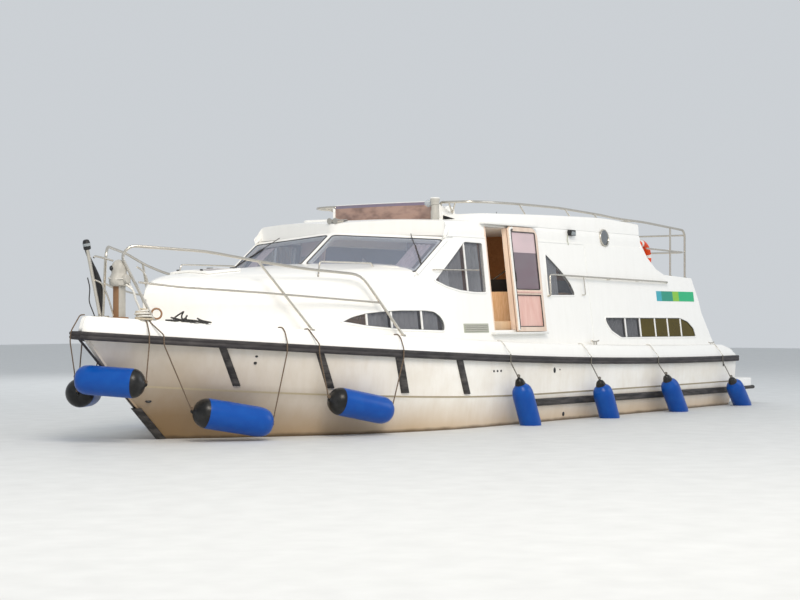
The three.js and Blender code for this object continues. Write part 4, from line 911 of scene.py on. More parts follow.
# Columns of a section: shares of the way up its side, the fifth at the doorway's head, then round its edge
# and over its top
SIDE_STEPS = np.array([0, .25, .5, .75, .8095, .9, 1])
HEAD_COLUMN = 4
ROUND_STEPS = np.linspace(0, 1, 7)[1:]
CROWN_STEPS = np.linspace(1, 0, 17)[1:]
BROW_CENTRE, BROW_SIDE, BROW_HALF, BROW_LEAN = (2.5, 2.66), (2.128, 2.572), 1.68, .62
COAMING_FRONT_X, COAMING_BEND_X = 1.09, .94
COAMING_SECTION = [(-.014, .12), (-.004, .03), (.003, .011), (.017, 0), (.073, 0), (.087, .011), (.09, .03),
                   (.09, .12)]
COAMING_FOOT_Z = 2.83  # within the wall of the roof
COAMING = np.array([(ROOF_AFT_X, 3.01), (-2.4, 3.056), (-1.2, 3.04), (0, 3.01), (COAMING_FRONT_X, 2.975)])
WING = [(1.15, 2.86), (1.15, 3.125), (1.06, 3.098), (.92, 3.04), (.78, 3.008), (.56, 2.995), (.56, 2.86)]
WING_SIDES = (.93, .962)
LAMP_X, LAMP_Y = 1.25, .953
SCREEN_FOOT, SCREEN_HEAD = ((3.05, 0, 2.24), (2.725, 1.68, 2.105)), ((2.45, 0, 2.655), (2.067, 1.68, 2.56))
SCREEN_NORMAL = np.cross(np.subtract(SCREEN_FOOT[1], SCREEN_FOOT[0]),
                         np.subtract(SCREEN_HEAD[0], SCREEN_FOOT[0]))
SCREEN_NORMAL = SCREEN_NORMAL / np.linalg.norm(SCREEN_NORMAL)


def on_screen(across, up, depth=0.0):
    """A point of the port pane's plane: across from the middle to the side, up from foot to head."""
    across, up = np.asarray(across)[..., None], np.asarray(up)[..., None]
    foot = lerp(np.array(SCREEN_FOOT[0]), np.array(SCREEN_FOOT[1]), across)
    head = lerp(np.array(SCREEN_HEAD[0]), np.array(SCREEN_HEAD[1]), across)
    return lerp(foot, head, up) + SCREEN_NORMAL * np.asarray(depth)[..., None]


def screen_loop(left, low, right, high):
    """A rounded outline on the pane's plane."""
    return soft_corners([(left, low), (right, low), (right, high), (left, high)], .05)


def window_holes(*names):
    return [np.array(WINDOWS[name][0]) for name in names]


def build_fore_cabins():
    """The side as a panel of x and z laid on the cabin side's curve, less its windows and the doorway;
    forward of it a grid round the nose, and the crown over both."""
    x_bow = TRUNK_NOSE_X - (TRUNK_NOSE_X - SPLIT_X) * (1 - np.linspace(0, 1, 60)) ** 2
    x_bow[-1] -= 1e-4
    x_aft = np.linspace(2.6, SPLIT_X, 35)
    shape = Shape()
    shape.grid(trunk_crown(np.concatenate([x_aft[:-1], x_bow])))
    foot = deck_top(x_bow) - .01
    head = trunk_crown(x_bow)[0][:, 2]
    z = lerp(foot, np.maximum(head, foot), np.linspace(1, 0, 21)[:, None])
    shape.grid(np.stack([x_bow + 0 * z, cabin_side(x_bow, z), z], -1))
    column = [(SPLIT_X, v) for v in z[::-1, 0]]
    outline = [(v, deck_top(v) - .03) for v in np.linspace(WHEELHOUSE_AFT_X, SPLIT_X - .1, 40)]
    outline += column
    outline += [(v, trunk_crown(np.array([v]))[0, 0, 2]) for v in x_aft[::-1] if 2.73 < v < SPLIT_X - .01]
    outline += [(2.725, 2.03), (2.725, 2.105), (2.067, 2.56), (2.02, 2.64), (DOOR["front"], 2.64),
                (DOOR["front"], DOOR["sill"]), (DOOR["back"], DOOR["sill"]), (DOOR["back"], 2.64),
                (WHEELHOUSE_AFT_X, 2.64)]
    flat, faces = panel(np.array(outline), window_holes("fore", "side", "quarter"), .06)
    shape.add(wall_points(flat), faces)
    shape.mirror()
    piece("fore_cabins", shape, "white_gelcoat", replaces=["fore_trunk", "wheelhouse"], shell=.045, sharp=35,
          weld=2e-4)
    front = Shape()
    flat, faces = panel(np.array([(0, -.16), (1, -.1), (1, 1.1), (0, 1.1)]),
                        [screen_loop(.05, .04, .955, .96)], .1)
    front.add(on_screen(flat[:, 0], flat[:, 1]), faces)
    front.mirror()
    piece("windscreen_frame", front, "white_gelcoat", shell=.045, sharp=35)
    pillars = Shape()
    for across, top, depth, radius in ((1.0, 1.03, -.012, .03), (0.0, 1.0, -.008, .022)):
        line = on_screen([across, across], [-.02, top], [depth, depth])
        pillars.solid(tube(lerp(line[:1], line[1:], np.linspace(0, 1, 12)[:, None]), radius))
    pillars.mirror()
    piece("windscreen_pillars", pillars, "white_gelcoat")


def brow_x(y, z):
    """The roof's front at a given y and z: two planes that meet at the middle and lean back."""
    share = np.abs(y) / BROW_HALF
    x_there, z_there = (lerp(a, b, share) for a, b in zip(BROW_CENTRE, BROW_SIDE))
    return x_there - (z - z_there) * BROW_LEAN


def roof_section(x):
    """The roof's outside, one x for each column: up the side, round the edge by a quadratic curve, then
    over the top, which falls from the middle with the 2.66th power of the way to the edge."""
    a, b = len(SIDE_STEPS), len(SIDE_STEPS) + len(ROUND_STEPS)
    edge, crown = np.interp(x, *ROOF[:, :2].T), np.interp(x, *ROOF[:, ::2].T)
    half = cabin_side(x, edge) + .018
    y, z = np.empty_like(x), np.empty_like(x)
    y[:, :a] = half[:, :a] - .03 * SIDE_STEPS ** 4.3
    z[:, :a] = lerp(ROOF_EDGE_Z, edge[:, :a] - .045, SIDE_STEPS)
    t = ROUND_STEPS
    y[:, a:b] = half[:, a:b] - quadratic(.03, .037, .1, t)
    z[:, a:b] = edge[:, a:b] - quadratic(.045, .008, .005, t)
    y[:, b:] = (half[:, b:] - .1) * CROWN_STEPS
    z[:, b:] = crown[:, b:] - (crown[:, b:] - edge[:, b:] + .005) * CROWN_STEPS ** 2.66
    return np.stack([x, y, z], -1)


def build_roof():
    """The roof's sections carried from its after end to the brow, less the doorways, and both ends."""
    back, ahead = DOOR["back"], DOOR["front"]
    fixed = np.concatenate([np.linspace(ROOF_AFT_X, back, 34), np.linspace(back, ahead, 6)[1:],
                            np.linspace(ahead, 1.6, 6)[1:]])
    front = np.full((1, len(SIDE_STEPS) + len(ROUND_STEPS) + len(CROWN_STEPS)), 2.2)
    for _ in range(12):
        at = roof_section(front)
        front = brow_x(at[..., 1], at[..., 2])
    nose = lerp(1.6, front, np.linspace(0, 1, 12)[1:, None])
    rows = roof_section(np.vstack([fixed[:, None] + 0 * front, nose]))
    shape = Shape()
    shape.grid(rows[:34, :HEAD_COLUMN + 1])
    shape.grid(rows[38:, :HEAD_COLUMN + 1])
    shape.grid(rows[:, HEAD_COLUMN:])
    steps = np.linspace(0, 1, 5)[:, None, None]
    for end in (rows[0], rows[-1]):
        low = end.copy()
        low[:, 2] = ROOF_EDGE_Z + .06 * (1 - end[:, 1] / end[0, 1])
        if end is rows[-1]:
            low[:, 0] = brow_x(low[:, 1], low[:, 2])
        shape.grid(lerp(end[None], low[None], steps))
    shape.grid(lerp(low[None], (low * (0, 1, 1) + (1.9, 0, 0))[None], steps))
    shape.mirror()
    piece("roof", shape, "white_gelcoat", replaces=["roof_moulding"], shell=.04, edge=.014, weld=1e-4,
          sharp=50)


def build_coaming():
    """A profile carried round the flybridge, and the wings beside its screen."""
    x = np.linspace(ROOF_AFT_X, COAMING_BEND_X, 46)
    top = smooth_curve(x, *COAMING.T)
    side = cabin_side(x, top)
    a = np.linspace(0, np.pi / 2, 9)[1:]
    bend, front_z = COAMING_FRONT_X - COAMING_BEND_X, COAMING[-1, 1]
    corner = np.stack([COAMING_BEND_X + bend * np.sin(a), side[-1] - bend + bend * np.cos(a),
                       0 * a + front_z], -1)
    y = lerp(corner[-1, 1], 0, np.linspace(0, 1, 10)[1:])
    across = np.stack([0 * y + COAMING_FRONT_X, y, 0 * y + front_z], -1)
    port = np.vstack([np.stack([x, side, top], -1), corner, across])
    line = np.vstack([port, port[-2::-1] * (1, -1, 1)])
    way = np.gradient(line, axis=0)
    way /= np.linalg.norm(way[:, :2], axis=1, keepdims=True)
    inward = np.stack([way[:, 1], -way[:, 0], 0 * way[:, 0]], -1)
    inset, drop = np.array(COAMING_SECTION)[..., None].transpose(1, 0, 2)
    wall = line[:, None] + inward[:, None] * inset - np.array([0, 0, 1.]) * drop
    wall[:, (0, -1), 2] = COAMING_FOOT_Z
    coaming = Shape()
    coaming.solid(wall)
    prism(coaming, WING, *WING_SIDES)
    prism(coaming, WING, -WING_SIDES[1], -WING_SIDES[0])
    piece("coaming", coaming, "white_gelcoat", edge=.008, sharp=40)


def build_door_tracks():
    """The tracks over and under the sliding doors."""
    tracks = Shape()
    tracks.solid(box_grid((-.28, 1.655, 2.818), (1.16, 1.735, 2.848), .009))
    tracks.solid(box_grid((-.28, 1.838, 1.268), (1.16, 1.92, 1.3), .009))
    tracks.mirror()
    piece("door_tracks", tracks, "gloss_white", sharp=50)


def build_search_lamp():
    """A turned foot, body and cap, with a domed lens on one side."""
    lamp = Shape()
    for low, high, colour, profile in (
            (2.87, 3.12, 0, [(0, .057), (.05, .06), (.6, .06), (.66, .052), (1, .052)]),
            (3.105, 3.204, 0, [(0, .05), (.06, .062), (.5, .062), (.56, .068), (.9, .068), (1, .05)]),
            (3.19, 3.213, 1, [(0, .06), (.3, .069), (.8, .069), (1, .06)])):
        lamp.solid(lathe((LAMP_X, LAMP_Y, low), (LAMP_X, LAMP_Y, high), profile, 40), colour)
    dome = np.array((LAMP_X - .02, LAMP_Y - .1, 3.13))
    profile = [(0, .02), (.05, .05), (.3, .053), (.6, .045), (.85, .028), (1, .008)]
    lamp.solid(lathe(dome, dome + (.09, -.03, 0), profile), 2)
    piece("search_lamp", lamp, ("grey_paint", "gloss_white", "lens_glass"), sharp=45)


def build_after_cabin():
    """Merged copies of the after cabin and the aft deck, a rounded copy of the platform, and its edging."""
    softened("after_cabin", "aft_cabin", "white_gelcoat", edge=0)
    softened("after_deck", "aft_deck", ("white_gelcoat", "deck_gelcoat"), edge=0,
             pick=lambda middle, normal: (normal[:, 2] > .8) & (middle[:, 2] < 2.3))
    low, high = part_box("swim_platform")
    edging = Shape()
    z = lerp(low[2], high[2], .55)
    path = [(high[0] - .02, high[1], z), (low[0], high[1], z), (low[0], low[1], z),
            (high[0] - .02, low[1], z)]
    edging.solid(bar(path, .03, .14))
    piece("platform_edging", edging, "black_rubber")
    softened("platform", "swim_platform", ("white_gelcoat", "deck_gelcoat"),
             pick=lambda middle, normal: normal[:, 2] > .9)


def curtain(name, place, fold, cover="grey_curtain"):
    """A hung curtain: place(across, up, depth) maps shares of its opening; its depth swings as a sine with
    the fold, more at the hem than at the head."""
    u = np.linspace(0, 1, 90)[:, None]
    v = np.linspace(0, 1, 14)[None]
    swing = np.sin(2 * np.pi * u * fold + .35 * np.sin(5 * u)) * lerp(1.0, .65, v)
    grid = place(u + 0 * v, v + 0 * u, swing * .011)
    made = piece(name, Shape().grid(grid), cover, sharp=180, outward=False)
    return made


def leaf_points(flat, sign, out):
    """Points of a sliding leaf's plane, x and z, at a distance out from the cabin side."""
    x, z = flat[..., 0], flat[..., 1]
    return np.stack([x, sign * (cabin_side(x, z) + out), z], -1)


def flat_grid(x, z, columns, rows):
    """A grid of points of a plane between two values of x and two of z."""
    return np.stack(np.meshgrid(np.linspace(*x, columns), np.linspace(*z, rows), indexing="ij"), -1)


# Glazing and doors

LEAF_FROM, LEAF_WIDTH, LEAF_TRAVEL, LEAF_STILE, LEAF_OUT = -.24, .78, .58, .07, .065
FRAME_PROFILE = np.array([(-.012, -.004), (-.013, .006), (-.004, .011), (.007, .01), (.015, .004),
                          (.015, -.004)])


def build_window_frames(side, sign):
    """Each frame is a profile carried round its opening, with a dark gasket inside it and bars across."""
    shape = Shape()
    for outline, bars, wide in WINDOWS.values():
        loop = dense(soft_corners(outline, .05), .05)
        out = np.vstack([wall_points(loop), wall_points(loop)[:1]]) * (1, sign, 1)
        way = np.gradient(out, axis=0)
        way[0] = way[-1] = (out[1] - out[-2]) / 2
        way /= np.linalg.norm(way, axis=1, keepdims=True)
        normal = np.array([(0, sign, SIDE_LEAN)] * len(out))
        across = np.cross(normal, way)
        across /= np.linalg.norm(across, axis=1, keepdims=True)
        aside, up = FRAME_PROFILE[..., None].transpose(1, 0, 2)
        shape.grid(out[:, None] + across[:, None] * aside + normal[:, None] * up, around=True)
        inward = np.sign(((out.mean(0) - out) * across).sum(1).mean())
        shape.grid(tube(out + across * inward * .013 + normal * .004, .0042, 8), 1, around=True)
        for x in bars:
            z = np.linspace(*bar_span(outline, x), 6)[:, None]
            w, depth = np.array((-wide, -wide, wide, wide)) / 2, np.array((-.012, .003, .003, -.012))
            shape.solid(np.stack([x + w + 0 * z, sign * (cabin_side(x, z) + depth), z + 0 * w], -1))
    piece(f"window_frames_{side}", shape, ("white_gelcoat", "grey_plastic"), sharp=45)


def build_windscreen(side, sign, trim):
    """The bonded pane, and its gasket, wiper arm and blade, which are added to the trim."""
    turn = (1, sign, 1)
    flat, faces = panel(screen_loop(.03, .008, .978, .995), (), .1)
    pane = Shape().add(on_screen(flat[:, 0], flat[:, 1], .007) * turn, faces)
    piece(f"windscreen_pane_{side}", pane, "windscreen_glass", replaces=[f"windscreen_{side}"],
          shell=.006)
    loop = dense(screen_loop(.026, .002, .982, 1.0), .03)
    loop = np.vstack([loop, loop[:2]])
    trim.grid(tube(on_screen(loop[:, 0], loop[:, 1], .004) * turn, .0085, 10), around=True)
    trim.solid(bar(on_screen([.69, .72, .955], [1.1, 1.0, .33], [.03, .03, .016]) * turn, .0055, .02))
    trim.solid(bar(on_screen([.80, .985], [.78, .22], [.013, .013]) * turn, .009))


def hang_curtains(side, sign):
    """One curtain behind the windscreen pane, and one behind each curtained span of the windows."""
    def behind_screen(u, v, depth):
        return on_screen(lerp(.74, .89, u), lerp(.06, .95, v), -.062 + depth) * (1, sign, 1)

    def behind_window(u, v, depth):
        x = lerp(first, last, u)
        low, high = np.array([bar_span(WINDOWS[window][0], at) for at in x[:, 0]]).T[..., None]
        z = lerp(low + .004, high - .004, v)
        return np.stack([x, sign * (cabin_side(x, z) - .036 + depth), z], -1)

    curtain(f"windscreen_curtain_{side}", behind_screen, 4, "pink_curtain")
    for window, spans in CURTAIN_SPANS.items():
        for k, (first, last) in enumerate(spans):
            curtain(f"{window}_curtain_{side}_{k + 1}", behind_window, (last - first) / .085)


def build_glazing():
    """Frames, panes and curtains, side by side; the glass of the windows keeps its CAD shape."""
    trim = Shape()
    for side, sign in SIDES:
        dress("cabin_glass", f"fore_window_{side}", f"side_window_{side}", f"quarter_window_{side}")
        dress("aft_glass", f"aft_window_{side}")
        build_window_frames(side, sign)
        build_windscreen(side, sign, trim)
        hang_curtains(side, sign)
    piece("screen_gaskets_wipers", trim, "black_rubber")


def bar_span(outline, x):
    """Where an upright line at x crosses an outline: its lowest and highest height."""
    a, b = np.array(outline), np.roll(outline, -1, 0)
    hit = (a[:, 0] > x) != (b[:, 0] > x)
    z = a[hit, 1] + (x - a[hit, 0]) / (b[hit, 0] - a[hit, 0]) * (b[hit, 1] - a[hit, 1])
    return z.min(), z.max()


def build_doors():
    """Each sliding leaf: a frame cut from a rounded panel, a sunk lower panel, dark gaskets, a raised stile
    that bends over at its head, a black line beside it that is painted shade in the gap, and the glass
    with its film."""
    for side, sign in SIDES:
        body = f"{side}_door"
        shift = 0 if sign > 0 else LEAF_TRAVEL
        x0, x1 = LEAF_FROM + shift, LEAF_FROM + LEAF_WIDTH + shift
        stile, low, high = LEAF_STILE, DOOR["sill"] - .022, DOOR["head"] + .018
        outline = np.vstack([[(x0, low), (x1, low), (x1, high - .03), (x1 - .03, high)],
                             [(x0 + .15 - .15 * math.sin(a), high - .15 + .15 * math.cos(a))
                              for a in np.linspace(0, math.pi / 2, 9)]])
        light = soft_corners([(x0 + stile, 1.91), (x1 - stile, 1.91), (x1 - stile, high - stile),
                              (x0 + stile, high - stile)], .03)
        sunk = np.array([(x0 + stile, low + stile), (x1 - stile, low + stile), (x1 - stile, 1.83),
                         (x0 + stile, 1.83)])
        leaf = Shape()
        flat, faces = panel(outline, [light, sunk], .1)
        leaf.add(leaf_points(flat, sign, LEAF_OUT), faces)
        piece(f"leaf_{side}", leaf, "cream_frame", body, [f"door_{side}"], shell=.029,
              edge=.005, sharp=40, weld=1e-4)
        inlay = Shape()
        grid = flat_grid((x0 + stile - .01, x1 - stile + .01), (low + stile - .01, 1.84), 8, 8)
        inlay.grid(leaf_points(grid, sign, LEAF_OUT - .016))
        piece(f"leaf_panel_{side}", inlay, "pink_panel", body, shell=.008)
        seals = Shape()
        for loop, radius in ((light, .0085), (sunk, .0075)):
            loop = dense(loop, .05)
            path = leaf_points(np.vstack([loop, loop[:2]]), sign, LEAF_OUT - .004)
            seals.grid(tube(path, radius, 8), around=True)
        rail = np.array([(x0 + stile - .01, 1.87), (x1 - stile + .01, 1.87)])
        seals.solid(tube(leaf_points(rail, sign, LEAF_OUT + .002), .012, 12), 1)
        edge = [(.016, low + .02), (.016, high - .14), (.02, high - .03), (.09, high - .018)]
        # a black line where the gap beside the stile shows dark: painted shade
        gap_shade_line = [(.041, low + .03), (.041, high - .16), (.048, high - .06), (.1, high - .045)]
        for knots, bend, radius, sides, colour in ((edge, .09, .017, 14, 2), (gap_shade_line, .08, .012, 8, 0)):
            path = np.array([(x1 - back, z) for back, z in knots])
            seals.solid(bar(leaf_points(path, sign, LEAF_OUT + .004), radius, bend, sides), colour)
        grip = leaf_points(np.array([(x1 - .045, z) for z in (2.0, 2.03, 2.14, 2.17)]), sign,
                           LEAF_OUT + .004)
        grip[1:3, 1] += sign * .022
        seals.solid(bar(grip, .007, .02, 10), 0)
        piece(f"leaf_trim_{side}", seals, ("black_rubber", "pink_panel", "gloss_white"), body,
              sharp=60)
        pane = Shape()
        for first, last, film in ((1.91, 2.44, 0), (2.44, high - stile, 1)):
            span = (first - .004, last + .004 * film)
            grid = flat_grid((x0 + stile - .005, x1 - stile + .005), span, 8, 10)
            pane.grid(leaf_points(grid, sign, LEAF_OUT - .012), film)
        piece(f"leaf_glass_{side}", pane, ("door_glass", "pink_film"), body, [f"door_glass_{side}"],
              shell=.006, weld=.005)


# Fenders, each slung or hung on its lines: name, its eyes, radius, x where each line crosses the deck edge
SIDE_FENDERS = [
    ("side", (4.51, 1.592, .487), (3.6, 1.892, .295), .178, (4.64, 3.29)),
    ("hung_1", (1.075, 2.24, .668), (.7, 2.242, -.11), .15, (1.11,)),
    ("hung_2", (-1.19, 2.24, .575), (-1.56, 2.242, -.105), .15, (-1.13,)),
    ("hung_3", (-3.33, 2.236, .592), (-3.87, 2.232, -.1), .15, (-3.29,)),
    ("hung_4", (-5.8, 2.19, .478), (-6.39, 2.17, -.095), .15, (-5.75,)),
]
PORT_FENDERS, STARBOARD_FENDERS = (
    [(f"{name}_{side}", *(np.multiply(eye, (1, sign, 1)) for eye in eyes), radius, lines)
     for name, *eyes, radius, lines in SIDE_FENDERS] for side, sign in SIDES)
FENDERS = [
    ("bow_port", (6.15, .785, .382), (5.235, 1.278, .199), .185, (6.52, 4.985)),
    *PORT_FENDERS,
    ("bow_starboard", (6.985, -.3, .6), (6.225, -.872, .575), .178, (6.9, 6.0)),
    *STARBOARD_FENDERS,
    ("stem", (7.12, -.2, .775), (6.752, .598, .716), .178, (None, 6.56)),
]
STEM_LINE = [(7.15, -.02, 1.54), (7.215, -.026, 1.538), (7.325, -.06, 1.352), (7.325, -.08, 1.23)]


def fender_route(eye, x):
    """A line's way from the deck over its edge and the rub rail down to the eye."""
    side = -1 if eye[1] < 0 else 1
    near = lerp(x, eye[0], .2)

    inner = max(deck_edge(x, .09) - .06, cabin_side(x, deck_top(x)) + .018)
    outside = float(waterline(near, STEM_HEAD_X + RAIL_REACH * .06, BEAM_HALF + .06)) + .009
    deck, rail = deck_top(x), rail_top(near)
    route = [(x, inner, deck + .007), (x, deck_edge(x, .09), deck + .014),
             (x, deck_edge(x, .0495) + .012, rail_top(x) + .1505),
             (near, outside, rail + .012), (near, outside, rail - .104)]
    return [(px, side * py, pz) for px, py, pz in route] + [eye]


def build_fenders():
    """Each body is turned from a profile: a slung one is a barrel with black ends, a hung one narrows to a
    black neck; the eyes and lines are tubes."""
    slung = np.array([(0, .12), (.012, .17), (.025, .34), (.05, .62), (.09, .83), (.13, .94), (.165, .985),
                      (.2, 1), (.4, 1), (.6, 1), (.8, 1), (.87, .965), (.93, .84), (.965, .66), (.985, .42),
                      (1, .2)])
    hung = np.array([(0, .13), (.01, .2), (.03, .34), (.07, .44), (.11, .5), (.14, .6), (.17, .78),
                     (.21, .9), (.27, .975), (.33, 1), (.6, 1), (.84, 1), (.9, .95), (.95, .8), (.985, .5),
                     (1, .2)])
    thick = bpy.context.scene.houseboat.line_radius
    for name, one, two, radius, lines in FENDERS:
        shape = Shape()
        hangs = name.startswith("hung")
        profile = (hung if hangs else slung)[::-1 if name == "stem" else 1].copy()
        cuts = (0, 4, 14, 15) if hangs else (0, 6, 14, 15)
        if name == "stem":
            profile[:, 0] = 1 - profile[:, 0]
            cuts = (0, 1, 9, 15)
        grid = lathe(one, two, profile * (1, radius), 40)
        for colour, a, b in zip((1, 0, 1), cuts, cuts[1:]):  # black, blue, black
            shape.grid(grid[a:b + 1], colour, around=True)
        way = np.subtract(two, one) / np.linalg.norm(np.subtract(two, one))
        for eye, sign in ((one, 1), (two, -1)):
            middle = np.asarray(eye) + way * sign * .012
            shape.grid(ring_grid(middle, np.cross(way, (0, 0, 1.0)), .024, .009, 24, 8), 1, around=True)
        for k, x in enumerate(lines):
            eye = (one, two)[k]
            path = [*STEM_LINE, eye] if x is None else fender_route(eye, x)
            parts = ((path[:4], 3), (path[3:], 2)) if hangs else ((path, 2),)
            for part, colour in parts:
                shape.solid(bar(part, thick, .03, 8), colour)
            knot = np.asarray(eye) + np.array([0, 0, .03])
            shape.grid(ring_grid(knot, (1, .3, .2), .014, .011, 16, 8), 2, around=True)
        line = "grey_line" if hangs else "brown_line"
        piece(f"fender_{name}_body", shape, ("blue_vinyl", "black_vinyl", line, "white_line"),
              replaces=[f"fender_{name}"], sharp=60)


# Rails

def foot_plate(shape, x, y, z, radius, height):
    """The turned foot of a post on the deck."""
    at = np.array((x, y, z))
    shape.solid(lathe(at - (0, 0, .004), at + (0, 0, height), [(0, radius), (.6, radius), (1, .022)]))


def build_bow_rails():
    """Bent tubes: paths of straight runs with rounded corners, a circle carried along each."""
    for side, sign in SIDES:
        shape = Shape()
        runs = [
            ([(6.44, .43, deck_top(6.44)), (6.69, .13, 2.25), (6.6, .19, 2.372), (5.79, .67, 2.318),
              (5.11, 1.0, 2.2), (4.53, 1.24, 2.12), (3.8, 1.56, 2.058), (3.18, 1.785, deck_top(3.18))],
             .018, .15),
            ([(6.56, .292, 1.932), (6.17, .53, 1.88), (5.17, 1.09, 1.812), (3.53, 1.657, 1.7)], .013, .06),
            ([(5.16, .985, 2.208), (4.56, 1.37, deck_top(4.56))], .016, .1),
        ]
        for points, radius, bend in runs:
            shape.solid(bar(np.array(points) * (1, sign, 1), radius, bend))
        for x, y in ((6.44, .43), (3.18, 1.785), (4.56, 1.37)):
            foot_plate(shape, x, sign * y, deck_top(x), .034, .016)
        piece(f"bow_rails_{side}", shape, "polished_stainless", replaces=[f"bow_rail_{side}"])


def build_upper_rails():
    """The rail along the roof and round the aft deck, as bent tubes with their posts, struts and feet."""
    rail = bpy.context.scene.houseboat.rail_radius
    for side, sign in SIDES:
        y, aft, gate, deck, end = 1.52, 1.66, .42, 2.19, -5.13
        runs = [
            ([(1.1, .948, 3.1), (1.1, .952, 3.15), (1.085, 1.13, 3.15), (1.0, 1.4, 3.15), (.7, y, 3.152),
              (-.09, y, 3.165), (-1.2, y, 3.165), (-2.5, y, 3.117), (-2.85, y + .04, 3.085),
              (-3.15, y + .07, 3.07), (-3.68, aft - .01, 3.05), (end + .07, aft, 2.975), (end, aft, 2.9),
              (end, aft, deck)], rail),
            *[([(x, y, z), (x - .07, 1.6, 2.99)], .012)
              for x, z in ((-.09, 3.163), (-1.41, 3.157), (-2.28, 3.125))],
            *[([(x, across, 3.15), (.8, .946, 3.0)], .012) for x, across in ((1.088, 1.08), (1.07, 1.18))],
            ([(-4.6, aft, 2.998), (-4.6, aft, deck)], .016),
            ([(-3.76, aft, 2.628), (end, aft, 2.6), (end, gate, 2.6)], .015),
            ([(end, aft, 2.89), (end, gate, 2.89)], .015),
            ([(end, gate, 2.904), (end, gate, deck)], .016),
            ([(-3.49, 1.622, 3.058), (-3.49, .66, 3.065), (-3.95, .66, 3.0), (-4.13, .66, 2.8),
              (-4.13, .66, deck)], .012),
        ]
        shape = Shape()
        for points, radius in runs:
            shape.solid(bar(np.array(points) * (1, sign, 1), radius, .15))
        for x, at, z in ((end, aft, 2.17), (-4.6, aft, 2.191), (end, gate, 2.17), (-4.13, .66, 2.206)):
            foot_plate(shape, x, sign * at, z, .036, .018)
        piece(f"upper_rails_{side}", shape, "polished_stainless", replaces=[f"upper_rail_{side}"])


def build_handrails():
    """The handrails along the cabin sides, a tube on each side with its brackets."""
    for side, sign in SIDES:
        out = .055

        def wall(z):
            return cabin_side(0, z)

        runs = [([(-.47, wall(1.82), 1.815), (-.47, wall(1.83) + out, 1.84), (-.5, wall(2.135) + out, 2.14),
                  (-4.23, wall(2.085) + out, 2.085), (-4.29, wall(2.08), 2.075)], .014)]
        for x, z in ((-1.49, 1.85), (-2.3, 2.096), (-3.24, 2.09)):
            points = [(x, wall(z) + out, z), (x, wall(z), z - .002)]
            if z < 2:
                points.insert(0, (x, wall(2.125) + out, 2.125))
            runs.append((points, .009))
        shape = Shape()
        for points, radius in runs:
            shape.solid(bar(np.array(points) * (1, sign, 1), radius, .05, 12))
        piece(f"side_handrails_{side}", shape, "polished_stainless", replaces=[f"side_handrail_{side}"])


# Foredeck gear

def crown_z(x, y):
    """Height of the trunk's top: its crown at x less its fall towards the edge."""
    share = np.abs(y) / trunk_edge(x)[0]
    return smooth_curve(x, *CROWN.T) - smooth_curve(np.clip(share, 0, 1), *CROWN_FALL.T)


def laid_on_trunk(flat, lift):
    return np.column_stack([flat, crown_z(flat[:, 0], flat[:, 1]) + lift])


def build_hatch():
    """A lid that follows the trunk's crown: a moulded frame with a smoked pane, its handles and hinges."""
    x0, x1, half = 4.71, 5.37, .34
    frame_shape = Shape()
    outline = soft_corners([(x0, -half), (x1, -half), (x1, half), (x0, half)], .06)
    inner = soft_corners([(x0 + .07, -half + .07), (x1 - .07, -half + .07), (x1 - .07, half - .07),
                          (x0 + .07, half - .07)], .05)
    flat, faces = panel(outline, [inner], .05)
    frame_shape.add(laid_on_trunk(flat, .034), faces)
    piece("hatch_frame", frame_shape, "white_gelcoat", "hatch", ["foredeck_hatch"], shell=.032,
          sharp=40, edge=.005)
    pane = Shape()
    flat, faces = panel(dense(inner, .04), (), .05)
    pane.add(laid_on_trunk(flat, .031), faces)
    piece("hatch_pane", pane, "smoked_acrylic", "hatch", shell=.008)
    fittings = Shape()
    for y in (-.2, .2):
        z = crown_z(x0, y) + .034
        fittings.solid(box_grid((x0 - .012, y - .035, z - .02), (x0 + .05, y + .035, z + .008), .006))
        z = crown_z(x1 - .03, y) + .034
        fittings.solid(lathe((x1 - .035, y, z - .004), (x1 - .035, y, z + .018),
                             [(0, .02), (.8, .02), (1, .015)]))
    piece("hatch_fittings", fittings, "black_plastic", "hatch", sharp=40)


def build_mast():
    """The bow lamp on its tube, and beside it the stocked anchor's dark upright."""
    shape = Shape()
    foot, head = np.array((6.905, 0, 1.5)), np.array((7.128, 0, 2.33))
    shape.solid(tube(lerp(foot, head, np.linspace(0, 1, 8)[:, None]), .021), 0)
    deck = deck_top(6.9)
    shape.solid(box_grid((6.83, -.08, deck - .02), (6.99, .08, deck + .02), .012), 0)
    lamp = [(0, .024), (.04, .04), (.1, .044), (.72, .044), (.78, .04), (.93, .036), (1, .02)]
    shape.solid(lathe((7.122, 0, 2.31), (7.15, 0, 2.43), lamp), 1)
    lens = [(0, .0455), (.1, .0465), (.9, .0465), (1, .0455)]
    shape.solid(lathe((7.133, 0, 2.355), (7.14, 0, 2.388), lens), 2)
    upper = [(7.02, 0, 2.22), (6.998, 0, 2.24), (6.895, .03, 2.222), (6.75, .05, 2.19)]
    shape.solid(bar(upper, .012, .03), 0)
    lower = [(7.02, .02, 1.955), (6.911, .03, 1.919), (6.81, .03, 1.753), (6.709, .03, deck)]
    shape.solid(bar(lower, .01, .05), 0)
    way = rounded([(7.128, -.05, 2.37), (7.031, -.05, 2.192), (6.92, -.05, 2.028), (6.86, -.05, 1.837),
                   (6.853, -.05, deck)], .2)
    t = np.linspace(0, 1, len(way))
    shape.solid(tube(way, np.interp(t, [0, .1, .45, .62, .85, 1], [.014, .02, .026, .04, .036, .018])), 3)
    line = [(7.06, -.06, 1.98), (6.98, -.1, 1.86), (6.98, -.12, 1.7), (6.9, -.1, deck + .01)]
    shape.solid(bar(line, .007, .05), 4)
    finishes = ("polished_stainless", "black_plastic", "lens_glass", "black_plastic", "dark_line")
    piece("bow_mast_gear", shape, finishes, replaces=["bow_mast"], sharp=40)


